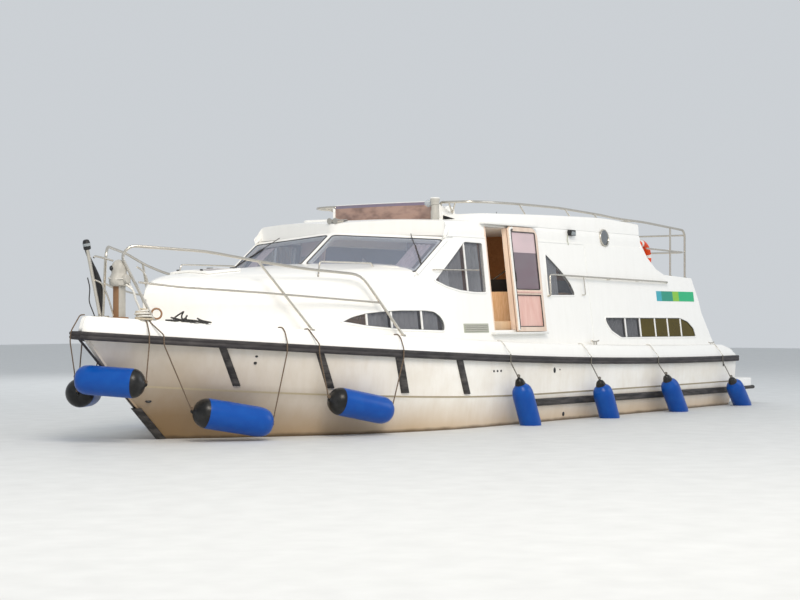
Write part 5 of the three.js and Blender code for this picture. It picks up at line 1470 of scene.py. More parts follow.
def build_winch():
    """A post that carries the windlass under its lumpy grey hood, a turned shape swollen by waves round it,
    with a black plug that is painted shade in the chain gypsy's opening, and the crank boss."""
    x, y = 6.665, .07
    shape = Shape()
    deck = deck_top(x)
    shape.solid(box_grid((x - .055, y - .055, deck - .03), (x + .055, y + .05, 1.9), .014), 2)
    # a light grey plate on the post's port face: painted light on its lit side
    shape.solid(box_grid((x - .053, y + .04, deck - .02), (x + .053, y + .062, 1.9), .008), 3)
    shape.solid(box_grid((x - .085, y - .085, deck - .02), (x + .085, y + .085, deck + .022), .01), 2)
    profile = [(0, .05), (.01, .095), (.05, .12), (.18, .13), (.32, .122), (.42, .1), (.5, .088), (.62, .09),
               (.76, .088), (.88, .07), (.96, .045), (1, .015)]
    hood = lathe((x, y, 1.88), (x, y, 2.205), profile, 40)
    turn = np.arctan2(hood[..., 1] - y, hood[..., 0] - x)
    swell = 1 + .07 * np.sin(3 * turn + 7 * hood[..., 2]) + .05 * np.sin(5 * turn - 19 * hood[..., 2])
    hood[..., :2] = (x, y) + (hood[..., :2] - (x, y)) * swell[..., None]
    shape.solid(hood, 0)
    # a black plug for the dark of the gypsy's opening: painted shade
    gypsy_opening_shade, boss = [(0, .03), (.7, .034), (1, .026)], [(0, .05), (.2, .055), (.8, .055), (1, .045)]
    shape.solid(lathe((x + .05, y - .03, 2.1), (x + .1, y - .045, 2.1), gypsy_opening_shade, 24), 1)
    shape.solid(lathe((x, y + .09, 1.97), (x, y + .15, 1.97), boss, 28), 0)
    shape.grid(ring_grid((x, y, 1.985), (.1, .05, 1), .125, .009, 48, 8), 4, around=True)
    piece("windlass", shape, ("grey_paint", "black_plastic", "rusty_iron", "grey_paint", "white_line"),
          replaces=["bow_winch"], sharp=50)


def on_wall(sign, x, z, out=0.0):
    """A point of the cabin side, or a little way out from it."""
    return np.array((x, sign * (cabin_side(x, z) + out), z))


def plate(shape, sign, x, z, out, finish_at=0):
    """A thin plate on the cabin side, between two values of x and two of z."""
    near, far = (leaf_points(flat_grid(x, z, 6, 4), sign, depth) for depth in (-.004, out))
    rim = [np.concatenate([g[:, 0], g[-1, 1:], g[::-1, -1][1:], g[0, ::-1][1:-1]]) for g in (near, far)]
    shape.grid(np.array(rim), finish_at, around=True)
    shape.grid(far, finish_at)
    shape.grid(near, finish_at)


# Breaks between the colours of the painted stripe, and its height
STRIPE_BREAKS, STRIPE_Z = (-3.888, -4.063, -4.453, -4.67, -5.22), (1.774, 1.936)
# Outlets in the hull's side: x, z, half length, half height
OUTLETS = [(5.314, 1.03, .02, .014), (5.309, .95, .022, .022), (6.24, .489, .04, .025),
           (1.41, .77, .02, .016), (1.32, .77, .02, .016), (1.23, .77, .02, .016), (-.21, .75, .03, .045),
           (-.36, .75, .014, .01), (-5.95, .72, .02, .05), (-.6, .1, .03, .04)]
# Grab rail on the trunk: its y, and each knot's x, the x whose crown height counts and the lift over it
GRAB_RAIL_Y = 1.2
GRAB_RAIL = ((4.236, 4.236, -.005), (4.2, 3.1, .045), (3.1, 3.1, .05), (3.06, 3.06, -.005))


def build_cabin_fittings(side, sign):
    """On the cabin side: the louvred air grille, porthole, lamp with its lead, grab rail and painted stripe.
    """
    small = Shape()
    plate(small, sign, (1.223, 1.83), (1.3, 1.423), .006)
    for k in range(4):
        path = [on_wall(sign, x, 1.325 + .025 * k, .009) for x in np.linspace(1.245, 1.808, 6)]
        small.solid(tube(path, (.007, .008, .008, .008, .008, .007), 6), 1)
    inner, outer = (on_wall(sign, -2.35, 2.745, out) for out in (-.004, .008))
    small.grid(ring_grid(outer, (0, sign, .12), .125, .014, 40, 8), 2, around=True)
    small.solid(lathe(inner, outer, [(0, .12), (.9, .12), (1, .112)], 40), 3)
    lamp, lens = on_wall(sign, -1.31, 2.785, .03), (0, sign * .026, 0)
    small.solid(box_grid(lamp - (.075, .034, .045), lamp + (.075, .034, .045)), 4)
    small.solid(box_grid(lamp - (.06, .02, .04) + lens, lamp + (.06, .02, .02) + lens), 5)
    lead = ((-1.22, 2.75, .01), (-1.2, 2.68, .006), (-1.22, 2.6, .006))
    small.solid(bar([on_wall(sign, *at) for at in lead], .006, .02), 0)
    rail = ((2.395, 2.15, 0), (2.395, 2.15, .045), (1.37, 2.165, .045), (1.37, 2.165, 0))
    small.solid(bar([on_wall(sign, *at) for at in rail], .009, .03), 2)
    finishes = ("louvre_paint", "grey_paint", "polished_stainless", "porthole_glass", "black_plastic",
                "lens_glass")
    piece(f"cabin_fittings_{side}", small, finishes, sharp=45)
    stripe = Shape()
    for k, ends in enumerate(zip(STRIPE_BREAKS[1:], STRIPE_BREAKS)):
        plate(stripe, sign, ends, STRIPE_Z, .003, k)
    finishes = ("stripe_teal", "stripe_green", "stripe_lime", "stripe_bright")
    piece(f"stripe_{side}", stripe, finishes, sharp=30)


def build_side_fittings(side, sign):
    """Cleats, outlets of the hull, the grab rail on the trunk and beads of sealant."""
    turn = (1, sign, 1)
    cleats = Shape()
    for x in (-1.61, -5.7):
        at = np.array((x, sign * deck_edge(x, .13), deck_top(x) + (0 if x > -5 else -.02)))
        for d in (-.035, .035):
            cleats.solid(bar([at + (d, 0, -.01), at + (d, 0, .045)], .011))
        horn = ((-.11, 0, .06), (-.05, 0, .047), (.05, 0, .047), (.11, 0, .06))
        cleats.solid(bar([at + way for way in horn], .012, .03))
    piece(f"cleats_{side}", cleats, "polished_stainless")
    holes = Shape()
    for x, z, long, high in OUTLETS:
        slope = np.array((on_hull(x - .05, z) - on_hull(x + .05, z), .1, .02))
        slope /= np.linalg.norm(slope)
        at = np.array((x, on_hull(x, z), z))
        ends = (at - slope * .01) * turn, (at + slope * .006) * turn
        offset = lathe(*ends, [(0, 1), (.7, 1), (1, .8)], 24) - at * turn
        along = (offset @ (slope * turn))[..., None] * (slope * turn)
        holes.solid(at * turn + along + (offset - along) * (long, long, high))
    piece(f"hull_outlets_{side}", holes, "black_plastic", sharp=40)
    grab = Shape()
    knots = [(x, sign * GRAB_RAIL_Y, crown_z(over, GRAB_RAIL_Y) + lift)
             for x, over, lift in GRAB_RAIL]
    grab.solid(bar(knots, .011, .05))
    piece(f"trunk_grab_rail_{side}", grab, "polished_stainless")
    beads = Shape()
    z = np.linspace(1.1, 2.6, 20)
    beads.solid(tube([on_wall(sign, WHEELHOUSE_AFT_X, at, -.001) for at in z], .006, 8))
    for first, last in ((-1.68, .46), (1.08, 1.96)):
        x = np.linspace(first, last, 16)
        beads.solid(tube([on_wall(sign, at, ROOF_EDGE_Z, -.001) for at in x], .006, 8))
    piece(f"sealant_beads_{side}", beads, "gloss_white")


def build_fittings():
    """Small fittings that the frame leaves out, with the horns and the aerial on the roof."""
    for side, sign in SIDES:
        build_cabin_fittings(side, sign)
        build_side_fittings(side, sign)
    horns = Shape()
    trumpet = [(0, .012), (.1, .016), (.6, .018), (.85, .03), (1, .045)]
    for y in (-.05, .05):
        horns.solid(lathe((2.12, y, 2.875), (2.4, y, 2.855), trumpet, 24))
    horns.solid(box_grid((2.12, -.07, 2.835), (2.22, .07, 2.875), .01), 1)
    horns.solid(box_grid((2.3, -.03, 2.79), (2.36, .03, 2.84), .01), 1)
    piece("roof_horns", horns, ("polished_stainless", "black_plastic"), sharp=50)
    aerial = Shape()
    aerial.solid(tube([(.41, 1.45, 2.9), (.41, 1.45, 3.03)], (.006, .004), 8))
    piece("roof_aerial", aerial, "black_plastic")


def build_foredeck_gear():
    """A coil whose rings tilt and shrink upwards, an iron ring, a lever and lines at the winch, and a heap
    of three lays of loops."""
    gear = Shape()
    deck = deck_top(6.5)
    for k in range(7):
        at = (6.52 + .016 * math.sin(5 * k), .33 + .014 * math.cos(7 * k), deck + .018 + .018 * k)
        axis = (.09 * math.sin(4 * k), .09 * math.cos(3 * k), 1)
        radius = .1 - .007 * k + .012 * math.sin(3 * k)
        gear.grid(ring_grid(at, axis, radius, .0125, 40, 8), (0, 4)[k % 2], around=True)
    gear.grid(ring_grid((6.33, .37, deck + .075), (.5, .8, .1), .062, .012, 36, 8), 1, around=True)
    fall = [(6.68, .2, 1.9), (6.66, .3, 1.84), (6.62, .3, 1.72), (6.57, .31, 1.64), (6.55, .32, 1.56)]
    gear.solid(bar(fall, .013, .05), 4)
    gear.solid(bar([(6.63, .2, 1.92), (6.6, .27, 1.8), (6.57, .27, 1.68), (6.52, .3, 1.6)], .009, .05), 4)
    t = np.linspace(0, 1, 220)
    for turns, shift in ((4, 0), (3, .9), (5, 2.1)):
        x = 6.24 - .42 * t + .06 * np.cos(2 * np.pi * turns * t + shift)
        y = .49 + .26 * t + .08 * np.sin(2 * np.pi * turns * t + 2 * shift)
        peak = .12 * np.exp(-((t - .33) / .16) ** 2) + .05 * np.exp(-((t - .8) / .12) ** 2)
        z = deck_top(x) + .011 + peak * (.5 + .5 * np.sin(13 * t + 2 * shift)) ** 1.5
        gear.solid(tube(np.stack([x, y, z], -1), .01, 8), 2)
    gear.solid(bar([(6.7, .4, 2.11), (6.64, .42, 2.08), (6.58, .44, 2.0), (6.56, .44, 1.93)], .011, .05), 3)
    finishes = ("pale_line", "rusty_iron", "dark_line", "polished_stainless", "white_line")
    piece("foredeck_gear", gear, finishes, sharp=60)


# Flybridge

def console_edge(at, tilt, stub, above, below):
    """The face of a console, square to its wheel's shaft: from above the shaft to below it, in x and z."""
    reach = stub + .0005
    ex, ez = at[0] + reach * math.cos(tilt), at[2] - reach * math.sin(tilt)
    return [(ex + t * math.sin(tilt), ez + t * math.cos(tilt)) for t in (above, -below)]


HELM_AT, HELM_TILT, HELM_STUB, HELM_RING = (2.01, -.86, 1.8), .42, .096, .19
FLY_AT, FLY_TILT, FLY_STUB, FLY_RING = (.405, .25, 3.075), .3, .06, .12


def build_wheels():
    """Each wheel: a torus with finger grips, three spokes, a hub and its shaft, on the shaft's own slant."""
    for name, node_name, body, at, tilt, stub, ring in (
            ("saloon_wheel", "helm_wheel", "helm", HELM_AT, HELM_TILT, HELM_STUB, HELM_RING),
            ("upper_wheel", "fly_wheel", "fly_helm", FLY_AT, FLY_TILT, FLY_STUB, FLY_RING)):
        axis = np.array((math.cos(tilt), 0, -math.sin(tilt)))
        across = np.array((0, 1.0, 0))
        up = np.cross(axis, across)
        centre = np.array(at)
        shape = Shape()
        shape.grid(ring_grid(centre, axis, ring, .013, 96, 14), 0, around=True)
        for k in range(3):
            a = k * 2 * math.pi / 3
            out = across * math.cos(a) + up * math.sin(a)
            spoke = np.array([centre + axis * .012, centre + out * ring * .5 + axis * .006,
                              centre + out * ring])
            shape.solid(bar(spoke, .0075, .05), 1)
        hub = [(0, .012), (.1, .026), (.35, .033), (1, .033)]
        shape.solid(lathe(centre - axis * .02, centre + axis * .02, hub), 0)
        shape.solid(lathe(centre + axis * .015, centre + axis * stub, [(0, .0135), (1, .0135)]), 1)
        piece(name, shape, ("black_plastic", "polished_stainless"), body, [node_name], sharp=45)


def build_flybridge():
    """The console as a rounded prism with its dials and lever, and the wind screen as a curved sheet with a
    darker band along its head."""
    shape = Shape()
    face = console_edge(FLY_AT, FLY_TILT, FLY_STUB, .062, .2)
    prism(shape, [(.85, 2.86), (.85, 3.03), (.64, 3.13), *face, (face[-1][0], 2.86)], -.26, .76)
    piece("upper_console", shape, "white_gelcoat", replaces=["fly_console"], edge=.025)
    dials = Shape()
    top, slope = np.array((.64, 3.13)), np.array(face[0]) - np.array((.64, 3.13))
    normal = np.array((slope[1], -slope[0])) / np.linalg.norm(slope)
    if normal[1] < 0:
        normal = -normal
    at, lift = top + slope * .5, np.array((normal[0], 0, normal[1]))
    for y in (.04, .16, .26):
        middle = np.array((at[0], y, at[1]))
        dials.solid(lathe(middle - lift * .004, middle + lift * .008, [(0, .032), (.6, .032), (1, .027)]), 0)
    dials.solid(bar([(.6, .6, 3.1), (.58, .6, 3.17), (.545, .6, 3.2)], .008, .02), 1)
    knob = [(0, .008), (.3, .015), (.8, .015), (1, .008)]
    dials.solid(lathe((.55, .585, 3.196), (.54, .62, 3.2), knob), 0)
    piece("console_fittings", dials, ("black_plastic", "polished_stainless"), sharp=40)
    t = np.linspace(0, 1, 40)[:, None]
    half, ends, middle = .926, 1.126, 1.266
    curve = quadratic((ends, -half), (middle, 0), (ends, half), t)
    foot = 2.925 - .012 * (curve[:, 1] / half) ** 2
    grid = np.stack([np.column_stack([curve, lerp(foot, np.full(40, 3.168), v)])
                     for v in (0, .2, .4, .6, .8, .82, .9, 1)], 0)
    screen = Shape()
    screen.grid(grid[:5])
    screen.grid(grid[4:], 1)
    piece("wind_screen", screen, ("smoked_acrylic", "violet_film"), replaces=["fly_screen"],
          shell=.008)
    trim = Shape()
    head = np.column_stack([curve, np.full(40, 3.166)]) + (-.004, 0, 0)
    trim.solid(tube(head, .0065, 10))
    for y in (-.5, .12, .62):
        x = float(np.interp(y, curve[:, 1], curve[:, 0]))
        trim.solid(bar([(x - .02, y, 2.93), (x - .02, y, 3.16)], .0055))
    piece("wind_screen_trim", trim, "gloss_white")
    # a black triangle on the coaming's front beside each wing: painted shade under the wing
    wing_shadow = Shape()
    flat, faces = panel(soft_corners([(.985, 2.905), (1.2, 2.905), (.985, 2.966)], .01), (), .05)
    for sign in (1, -1):
        wing_shadow.add(np.column_stack([np.full(len(flat), COAMING_FRONT_X + .008), sign * flat[:, 0],
                                  flat[:, 1]]), faces)
    piece("coaming_vents", wing_shadow, "black_plastic", shell=.006)


CUSHION_CROWN, CUSHION_PULL, CUSHION_ROWS, CUSHION_COLUMNS = .025, .03, 40, 96


def crowned(low, high):
    """A cushion: a superellipse in plan and in section, its top raised towards the middle and its sides
    drawn in between the corners."""
    low, high = np.array(low), np.array(high)
    middle, half = (low + high) / 2, (high - low) / 2
    u = np.linspace(-1, 1, CUSHION_ROWS)[:, None] * np.pi / 2
    v = np.linspace(0, 2 * np.pi, CUSHION_COLUMNS, endpoint=False)[None]

    def power(value, exponent):
        return np.sign(value) * np.abs(value) ** exponent

    out, z = power(np.cos(u), .34), power(np.sin(u), .5)
    x, y = out * power(np.cos(v), .2), out * power(np.sin(v), .2)
    draw_x = 1 - CUSHION_PULL * (1 - y ** 2) * np.abs(x) ** 3
    draw_y = 1 - CUSHION_PULL * (1 - x ** 2) * np.abs(y) ** 3
    lift = CUSHION_CROWN * (1 - x ** 2) * (1 - y ** 2) * (z > 0)
    return np.stack([middle[0] + half[0] * x * draw_x, middle[1] + half[1] * y * draw_y,
                     middle[2] + half[2] * z + lift - CUSHION_CROWN * (z > 0) * .6], -1)


def cushion(name, low, high, cover):
    """One padded cushion with its piping: small tubes round its upper and lower seam."""
    shape = Shape()
    grid = crowned(low, high)
    shape.grid(grid, 0, around=True)
    for share in (.3, .7):
        ring = grid[int(CUSHION_ROWS * share)]
        shape.grid(tube(np.vstack([ring, ring[:2]]), .005, 8), 1, around=True)
    made = piece(name, shape, (cover, "white_band"), sharp=180, weld=1e-4)


def build_seats():
    """The helm seat on the flybridge and the saloon's bench: bases with cushions on them."""
    base = Shape()
    prism(base, [(-.9, 2.875), (-.9, 2.99), (-.45, 2.99), (-.45, 2.875)], -.7, .7)
    piece("upper_seat_base", base, "white_gelcoat", replaces=["fly_seat"], edge=.02)
    for k, (y0, y1) in enumerate(((-.69, -.235), (-.228, .228), (.235, .69))):
        cushion(f"upper_seat_cushion_{k + 1}", (-.89, y0, 2.988), (-.46, y1, 3.052), "white_upholstery")
    base = Shape()
    base.solid(box_grid((-1.495, -1.655, .702), (.395, -1.06, .99), .012))
    base.solid(box_grid((-1.495, -1.658, .98), (.395, -1.6, 1.54), .012))
    piece("bench_base", base, "brown_veneer", replaces=["saloon_bench"])
    for k in range(3):
        x0 = -1.49 + .63 * k
        cushion(f"bench_seat_{k + 1}", (x0, -1.59, .988), (x0 + .618, -1.055, 1.128), "tan_upholstery")
        cushion(f"bench_back_{k + 1}", (x0, -1.605, 1.13), (x0 + .618, -1.5, 1.555), "tan_upholstery")


def build_lifebuoy():
    """A torus with four white bands and its grab line, held on the after rail."""
    centre, ring, thick = np.array((-3.83, 1.53, 2.4803)), .228, .0585
    grid = ring_grid(centre, (0, 1, 0), ring, thick, 96, 24)
    shape = Shape()
    band = (np.arange(96) % 24 < 4)
    start = 0
    for k in range(1, 97):
        if k == 96 or band[k] != band[start]:
            rows = grid[start:k + 1]
            middle = rows.mean(1, keepdims=True)
            shape.solid(middle + (rows - middle) * (1.025 if band[start] else 1), int(band[start]))
            start = k
    angles = np.linspace(0, 2 * np.pi, 97)
    out = np.stack([np.cos(angles), 0 * angles, np.sin(angles)], -1)
    slack = .012 * np.abs(np.sin(2 * (angles - .26)))
    line = centre + out * (ring + thick + .004 + slack)[:, None] * (1, 0, 1)
    shape.grid(tube(np.clip(line, centre - .288, centre + .288), .005, 8), 2, around=True)
    piece("lifebuoy_ring", shape, ("orange_foam", "white_band", "pale_line"), replaces=["lifebuoy"],
          sharp=50)


# Below the water and inside

def build_stern_gear():
    """The propeller's hub and four blades, ellipses whose pitch eases towards the tip, and the rudder."""
    x, z, radius = -5.7, -.528, .2
    shape = Shape()
    hub = [(0, .03), (.03, .041), (.5, .042), (.8, .036), (.95, .02), (1, .006)]
    shape.solid(lathe((x + .06, 0, z), (x - .09, 0, z), hub, 40))
    shape.solid(lathe((x + .055, 0, z), (-5.3, 0, z), [(0, .02), (1, .02)]))
    for k in range(4):
        a = k * math.pi / 2
        u = np.linspace(0, 1, 24)[:, None]
        v = np.arange(24)[None] * 2 * np.pi / 24
        r = lerp(.03, radius * .995, u)
        chord = .078 * np.sqrt(np.clip(1 - ((u - .56) / .46) ** 2, .0004, 1)) * np.clip(.55 + u, 0, 1)
        thick = lerp(.009, .0025, u) * np.sqrt(np.clip(1 - ((u - .5) / .52) ** 4, .02, 1))
        pitch = .5 + .35 * (.5 - u)
        s, n = chord * np.cos(v), thick * np.sin(v)
        along, sideways = n * np.cos(pitch) + s * np.sin(pitch), s * np.cos(pitch) - n * np.sin(pitch)
        blade = np.stack([x - .015 + along, sideways * math.cos(a) - r * math.sin(a),
                          z + sideways * math.sin(a) + r * math.cos(a)], -1)
        shape.solid(blade)
    piece("screw", shape, "cast_bronze", "propeller", ["propeller"], sharp=50)
    blade = Shape()
    t = np.linspace(-1, 1, 21)[:, None]
    v = np.arange(40)[None] * 2 * np.pi / 40
    z_at = lerp(-.69, -.34, (t + 1) / 2)
    fore, aft = lerp(-5.99, -6.01, (t + 1) / 2), lerp(-6.45, -6.41, (t + 1) / 2)
    x_at = lerp(aft, fore, (1 + np.cos(v)) / 2)
    y_at = .02 * np.sin(v) * np.clip(1.15 - .5 * (1 - np.cos(v)) / 2, 0, 1)
    blade.solid(np.stack([x_at + 0 * z_at, np.clip(y_at, -.02, .02) + 0 * z_at, z_at + 0 * x_at], -1))
    blade.solid(lathe((-6.12, 0, -.7), (-6.12, 0, -.06), [(0, .025), (1, .025)]))
    blade.solid(lathe((-6.12, 0, -.69), (-6.12, 0, -.7875), [(0, .012), (1, .012)]))
    piece("rudder_blade", blade, "painted_steel", "rudder", ["rudder"], sharp=50)
    dress("painted_steel", "engine_block")


def build_interior():
    """The saloon: helm desk, galley with its top, sole, a lining inside the cabin sides, the ceiling, the
    bulkhead at its after end, the stove, the steps at the doors and a hand rod."""
    softened("helm_desk", "helm_console", ("brown_veneer", "black_plastic"), edge=.006,
             pick=lambda middle, normal: (normal[:, 2] > .3) & (middle[:, 0] < 2.6) & (middle[:, 2] > 1.6))
    softened("galley", "galley_unit", ("tan_veneer", "brown_veneer"), edge=.006,
             pick=lambda middle, normal: normal[:, 2] > .8)
    dress("teak_boards", "saloon_sole")
    for side, sign in SIDES:
        outline = [(WHEELHOUSE_AFT_X + .01, .75), (2.54, .75), (2.54, 1.3), (2.4, 2.2), (2.02, 2.6),
                   (DOOR["front"] + .01, 2.6), (DOOR["front"] + .01, DOOR["sill"] - .01),
                   (DOOR["back"] - .01, DOOR["sill"] - .01), (DOOR["back"] - .01, 2.6),
                   (WHEELHOUSE_AFT_X + .01, 2.6)]
        flat, faces = panel(np.array(outline), window_holes("side", "quarter"), .14)
        lining = Shape().add(wall_points(flat, .056) * (1, sign, 1), faces)
        piece(f"saloon_lining_{side}", lining, "brown_veneer", shell=.004)
        jambs = Shape()
        for x, depth in ((DOOR["back"] - .012, .045), (DOOR["front"] - .002, .014)):
            rows = [[(x + a, sign * (cabin_side(x, z) - b), z) for a, b in
                     ((0, -.006), (depth / 2, -.012), (depth, -.006), (depth, .07), (0, .07))]
                    for z in np.linspace(DOOR["sill"] + .002, DOOR["head"] - .004, 12)]
            jambs.solid(np.array(rows))
        piece(f"door_jambs_{side}", jambs, "cream_frame", sharp=50)
    ceiling = Shape()
    y = np.linspace(-1.6, 1.6, 17)
    x = np.linspace(WHEELHOUSE_AFT_X + .02, 1.9, 12)[:, None]
    ceiling.grid(np.stack([x + 0 * y, y + 0 * x, 2.787 - .006 * (y / 1.6) ** 2 + 0 * x], -1))
    piece("saloon_ceiling", ceiling, "ceiling_liner", shell=.006)
    wall = Shape()
    flat, faces = panel(np.array([(-1.72, .74), (1.72, .74), (1.6, 2.79), (-1.6, 2.79)]), (), .3)
    wall.add(np.column_stack([np.full(len(flat), WHEELHOUSE_AFT_X + .03), flat]), faces)
    piece("saloon_bulkhead", wall, "walnut_panel", shell=.012)
    low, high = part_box("galley_unit")
    stove = Shape()
    stove.solid(box_grid((low[0] + .2, low[1] + .03, high[2] - .002),
                         (high[0] - .01, high[1] - .03, high[2] + .18), .01))
    piece("galley_stove", stove, "oven_black")
    step = Shape()
    step.solid(box_grid((DOOR["back"] + .012, 1.6, DOOR["sill"] - .03),
                        (DOOR["front"] - .012, 1.76, DOOR["sill"] + .125), .006))
    step.mirror()
    piece("door_steps", step, "tan_gelcoat")
    rod = Shape()
    rod.solid(bar([(.22, 1.05, 1.885), (.22, 1.05, 1.93), (-.5, 1.12, 2.26), (-.5, 1.12, 2.3)], .011, .02))
    piece("galley_rod", rod, "polished_stainless")


# Stage

def area_light(name, place, target, size, power, colour="#FFFFFF"):
    data = bpy.data.lights.new(name, "AREA")
    data.shape, data.size, data.size_y = "RECTANGLE", size[0], size[1]
    data.energy, data.color = power, linear(colour)
    made = bpy.data.objects.new(name, data)
    made.location = place
    made.rotation_euler = (Vector(target) - Vector(place)).to_track_quat("-Z", "Y").to_euler()
    bpy.context.scene.collection.objects.link(made)
    return made


def build_stage():
    """A plain floor at the waterline, soft lights, a pale world and the camera at the photo's angle."""
    scene = bpy.context.scene
    x, y = np.meshgrid(np.linspace(-60, 60, 5), np.linspace(-60, 60, 5))
    flat = Shape().grid(np.stack([x, y, 0 * x], -1))
    floor = bpy.data.meshes.new("floor")
    floor.from_pydata(np.vstack(flat.points).tolist(), [], flat.faces)
    floor.materials.append(finish("studio_floor"))
    made = bpy.data.objects.new("floor", floor)
    scene.collection.objects.link(made)
    area_light("key", (14, 14, 16), (0, 0, 1), (9, 9), scene.houseboat.stage_light, "#FFF6EA")
    area_light("fill", (-12, 18, 10), (-2, 0, 1), (10, 10), 700, "#F3F7FF")
    area_light("back", (-10, -14, 12), (-1, 0, 1), (10, 10), 900).visible_glossy = False
    area_light("bow", (20, 6, 9), (1, 0, 2.4), (6, 5), 320, "#FFFAF2").visible_glossy = False
    area_light("saloon", (1.5, .2, 2.62), (.2, .6, 1.6), (.5, .5), 34, "#FFF2E0").visible_glossy = False
    world = bpy.data.worlds.new("studio")
    world.use_nodes = True
    shade = world.node_tree.nodes["Background"]
    shade.inputs["Color"].default_value = (*linear("#E9EEF3"), 1)
    shade.inputs["Strength"].default_value = .74
    scene.world = world
    scene.view_settings.view_transform = "Standard"
    lens = bpy.data.cameras.new("camera")
    lens.lens, lens.sensor_width, lens.clip_end = 81, 36, 300
    camera = bpy.data.objects.new("camera", lens)
    camera.location = (22.28, 15.47, 1.51)
    camera.rotation_euler = (math.radians(90.55), 0, math.radians(125.73))
    scene.collection.objects.link(camera)
    scene.camera = camera


# Settings, operators and panel

class HouseboatSettings(bpy.types.PropertyGroup):
    """The colours and sizes that a user would change"""
    upper_works: FloatVectorProperty(name="Upper Works", description="Gelcoat of the cabins and the roof",
                                     subtype="COLOR", default=linear("#FBFAF6"))
    deck: FloatVectorProperty(name="Deck", description="Gelcoat of the deck moulding", subtype="COLOR",
                              default=linear("#F1EEE7"))
    hull: FloatVectorProperty(name="Hull", description="Gelcoat of the hull above the waterline",
                              subtype="COLOR", default=linear("#FBF8F1"))
    rubber: FloatVectorProperty(name="Rub Rails", description="Rubber of the rub rails and strips",
                                subtype="COLOR", default=linear("#242120"))
    fenders: FloatVectorProperty(name="Fenders", description="Vinyl of the fenders' bodies",
                                 subtype="COLOR", default=linear("#00489E"))
    lifebuoy: FloatVectorProperty(name="Lifebuoy", description="Foam of the lifebuoy",
                                  subtype="COLOR", default=linear("#E0480F"))
    side_curtains: FloatVectorProperty(name="Side Curtains", description="Curtains in the side windows",
                                       subtype="COLOR", default=linear("#D4D6DC"))
    screen_curtains: FloatVectorProperty(name="Screen Curtains", description="Curtains at the windscreen",
                                         subtype="COLOR", default=linear("#D8C4CA"))
    door_panel: FloatVectorProperty(name="Door Panels", description="Lower panels of the sliding doors",
                                    subtype="COLOR", default=linear("#EBC3B6"))
    rail_radius: FloatProperty(name="Rail Radius", description="Radius of the rail round the roof",
                               default=.019, min=.008, max=.03, unit="LENGTH")
    line_radius: FloatProperty(name="Fender Line Radius", description="Radius of the fenders' lines",
                               default=.008, min=.003, max=.02, unit="LENGTH")
    stage_light: FloatProperty(name="Stage Light", description="Power of the main light of the stage",
                               default=3000, min=0, unit="POWER")


class HullOperator(bpy.types.Operator):
    """Build the hull with its skeg, the deck moulding and the rubber rails and strips"""
    bl_idname = "houseboat.hull"
    bl_label = "Hull and Deck"

    def execute(self, context):
        build_hull()
        build_deck()
        build_rub_rails()
        return {"FINISHED"}


class CabinsOperator(bpy.types.Operator):
    """Build the foredeck trunk with the wheelhouse sides, the roof, the aft cabin and the platform"""
    bl_idname = "houseboat.cabins"
    bl_label = "Cabins and Roof"

    def execute(self, context):
        build_fore_cabins()
        build_roof()
        build_coaming()
        build_door_tracks()
        build_search_lamp()
        build_after_cabin()
        return {"FINISHED"}


class GlazingOperator(bpy.types.Operator):
    """Glaze and frame the windows, and hang their curtains"""
    bl_idname = "houseboat.glazing"
    bl_label = "Windows"

    def execute(self, context):
        build_glazing()
        return {"FINISHED"}


class DoorsOperator(bpy.types.Operator):
    """Build the two sliding doors"""
    bl_idname = "houseboat.doors"
    bl_label = "Doors"

    def execute(self, context):
        build_doors()
        return {"FINISHED"}


class FendersOperator(bpy.types.Operator):
    """Build the fenders with their lines"""
    bl_idname = "houseboat.fenders"
    bl_label = "Fenders"

    def execute(self, context):
        build_fenders()
        return {"FINISHED"}


class RailsOperator(bpy.types.Operator):
    """Build the bow rails, the rails round the roof and the aft deck, and the handrails"""
    bl_idname = "houseboat.rails"
    bl_label = "Rails"

    def execute(self, context):
        build_bow_rails()
        build_upper_rails()
        build_handrails()
        return {"FINISHED"}


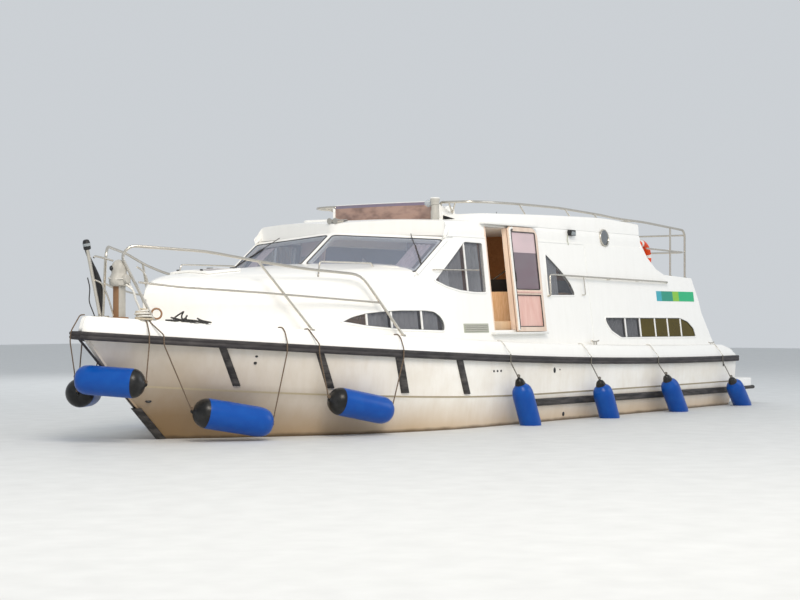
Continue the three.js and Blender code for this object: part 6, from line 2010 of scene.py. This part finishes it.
class DeckGearOperator(bpy.types.Operator):
    """Build the hatch, the mast with the anchor, the winch, the small fittings and the lifebuoy"""
    bl_idname = "houseboat.deck_gear"
    bl_label = "Deck Gear"

    def execute(self, context):
        build_hatch()
        build_mast()
        build_winch()
        build_fittings()
        build_foredeck_gear()
        build_lifebuoy()
        return {"FINISHED"}


class FlybridgeOperator(bpy.types.Operator):
    """Build the flybridge console and its screen, the steering wheels and the seats"""
    bl_idname = "houseboat.flybridge"
    bl_label = "Flybridge and Seats"

    def execute(self, context):
        build_wheels()
        build_flybridge()
        build_seats()
        return {"FINISHED"}


class InteriorOperator(bpy.types.Operator):
    """Build the saloon's lining, desk and galley, and the gear below the water"""
    bl_idname = "houseboat.interior"
    bl_label = "Interior and Stern Gear"

    def execute(self, context):
        build_interior()
        build_stern_gear()
        return {"FINISHED"}


class StageOperator(bpy.types.Operator):
    """Put up the floor, the lights and the camera"""
    bl_idname = "houseboat.stage"
    bl_label = "Stage"

    def execute(self, context):
        build_stage()
        return {"FINISHED"}


OPERATORS = (HullOperator, CabinsOperator, GlazingOperator, DoorsOperator, FendersOperator, RailsOperator,
             DeckGearOperator, FlybridgeOperator, InteriorOperator, StageOperator)


class HouseboatPanel(bpy.types.Panel):
    """The houseboat's pieces, in the order in which they are built"""
    bl_idname = "VIEW3D_PT_houseboat"
    bl_label = "Houseboat"
    bl_space_type = "VIEW_3D"
    bl_region_type = "UI"
    bl_category = "Houseboat"

    def draw(self, context):
        for prop in HouseboatSettings.__annotations__:
            self.layout.prop(context.scene.houseboat, prop)
        for operator in OPERATORS:
            self.layout.operator(operator.bl_idname)


def register():
    for c in (HouseboatSettings, *OPERATORS, HouseboatPanel):
        bpy.utils.register_class(c)
    bpy.types.Scene.houseboat = PointerProperty(type=HouseboatSettings)


def unregister():
    del bpy.types.Scene.houseboat
    for c in reversed((HouseboatSettings, *OPERATORS, HouseboatPanel)):
        bpy.utils.unregister_class(c)


def main():
    register()
    for operator in OPERATORS:
        group, name = operator.bl_idname.split(".")
        getattr(getattr(bpy.ops, group), name)()


if __name__ == "__main__":
    main()
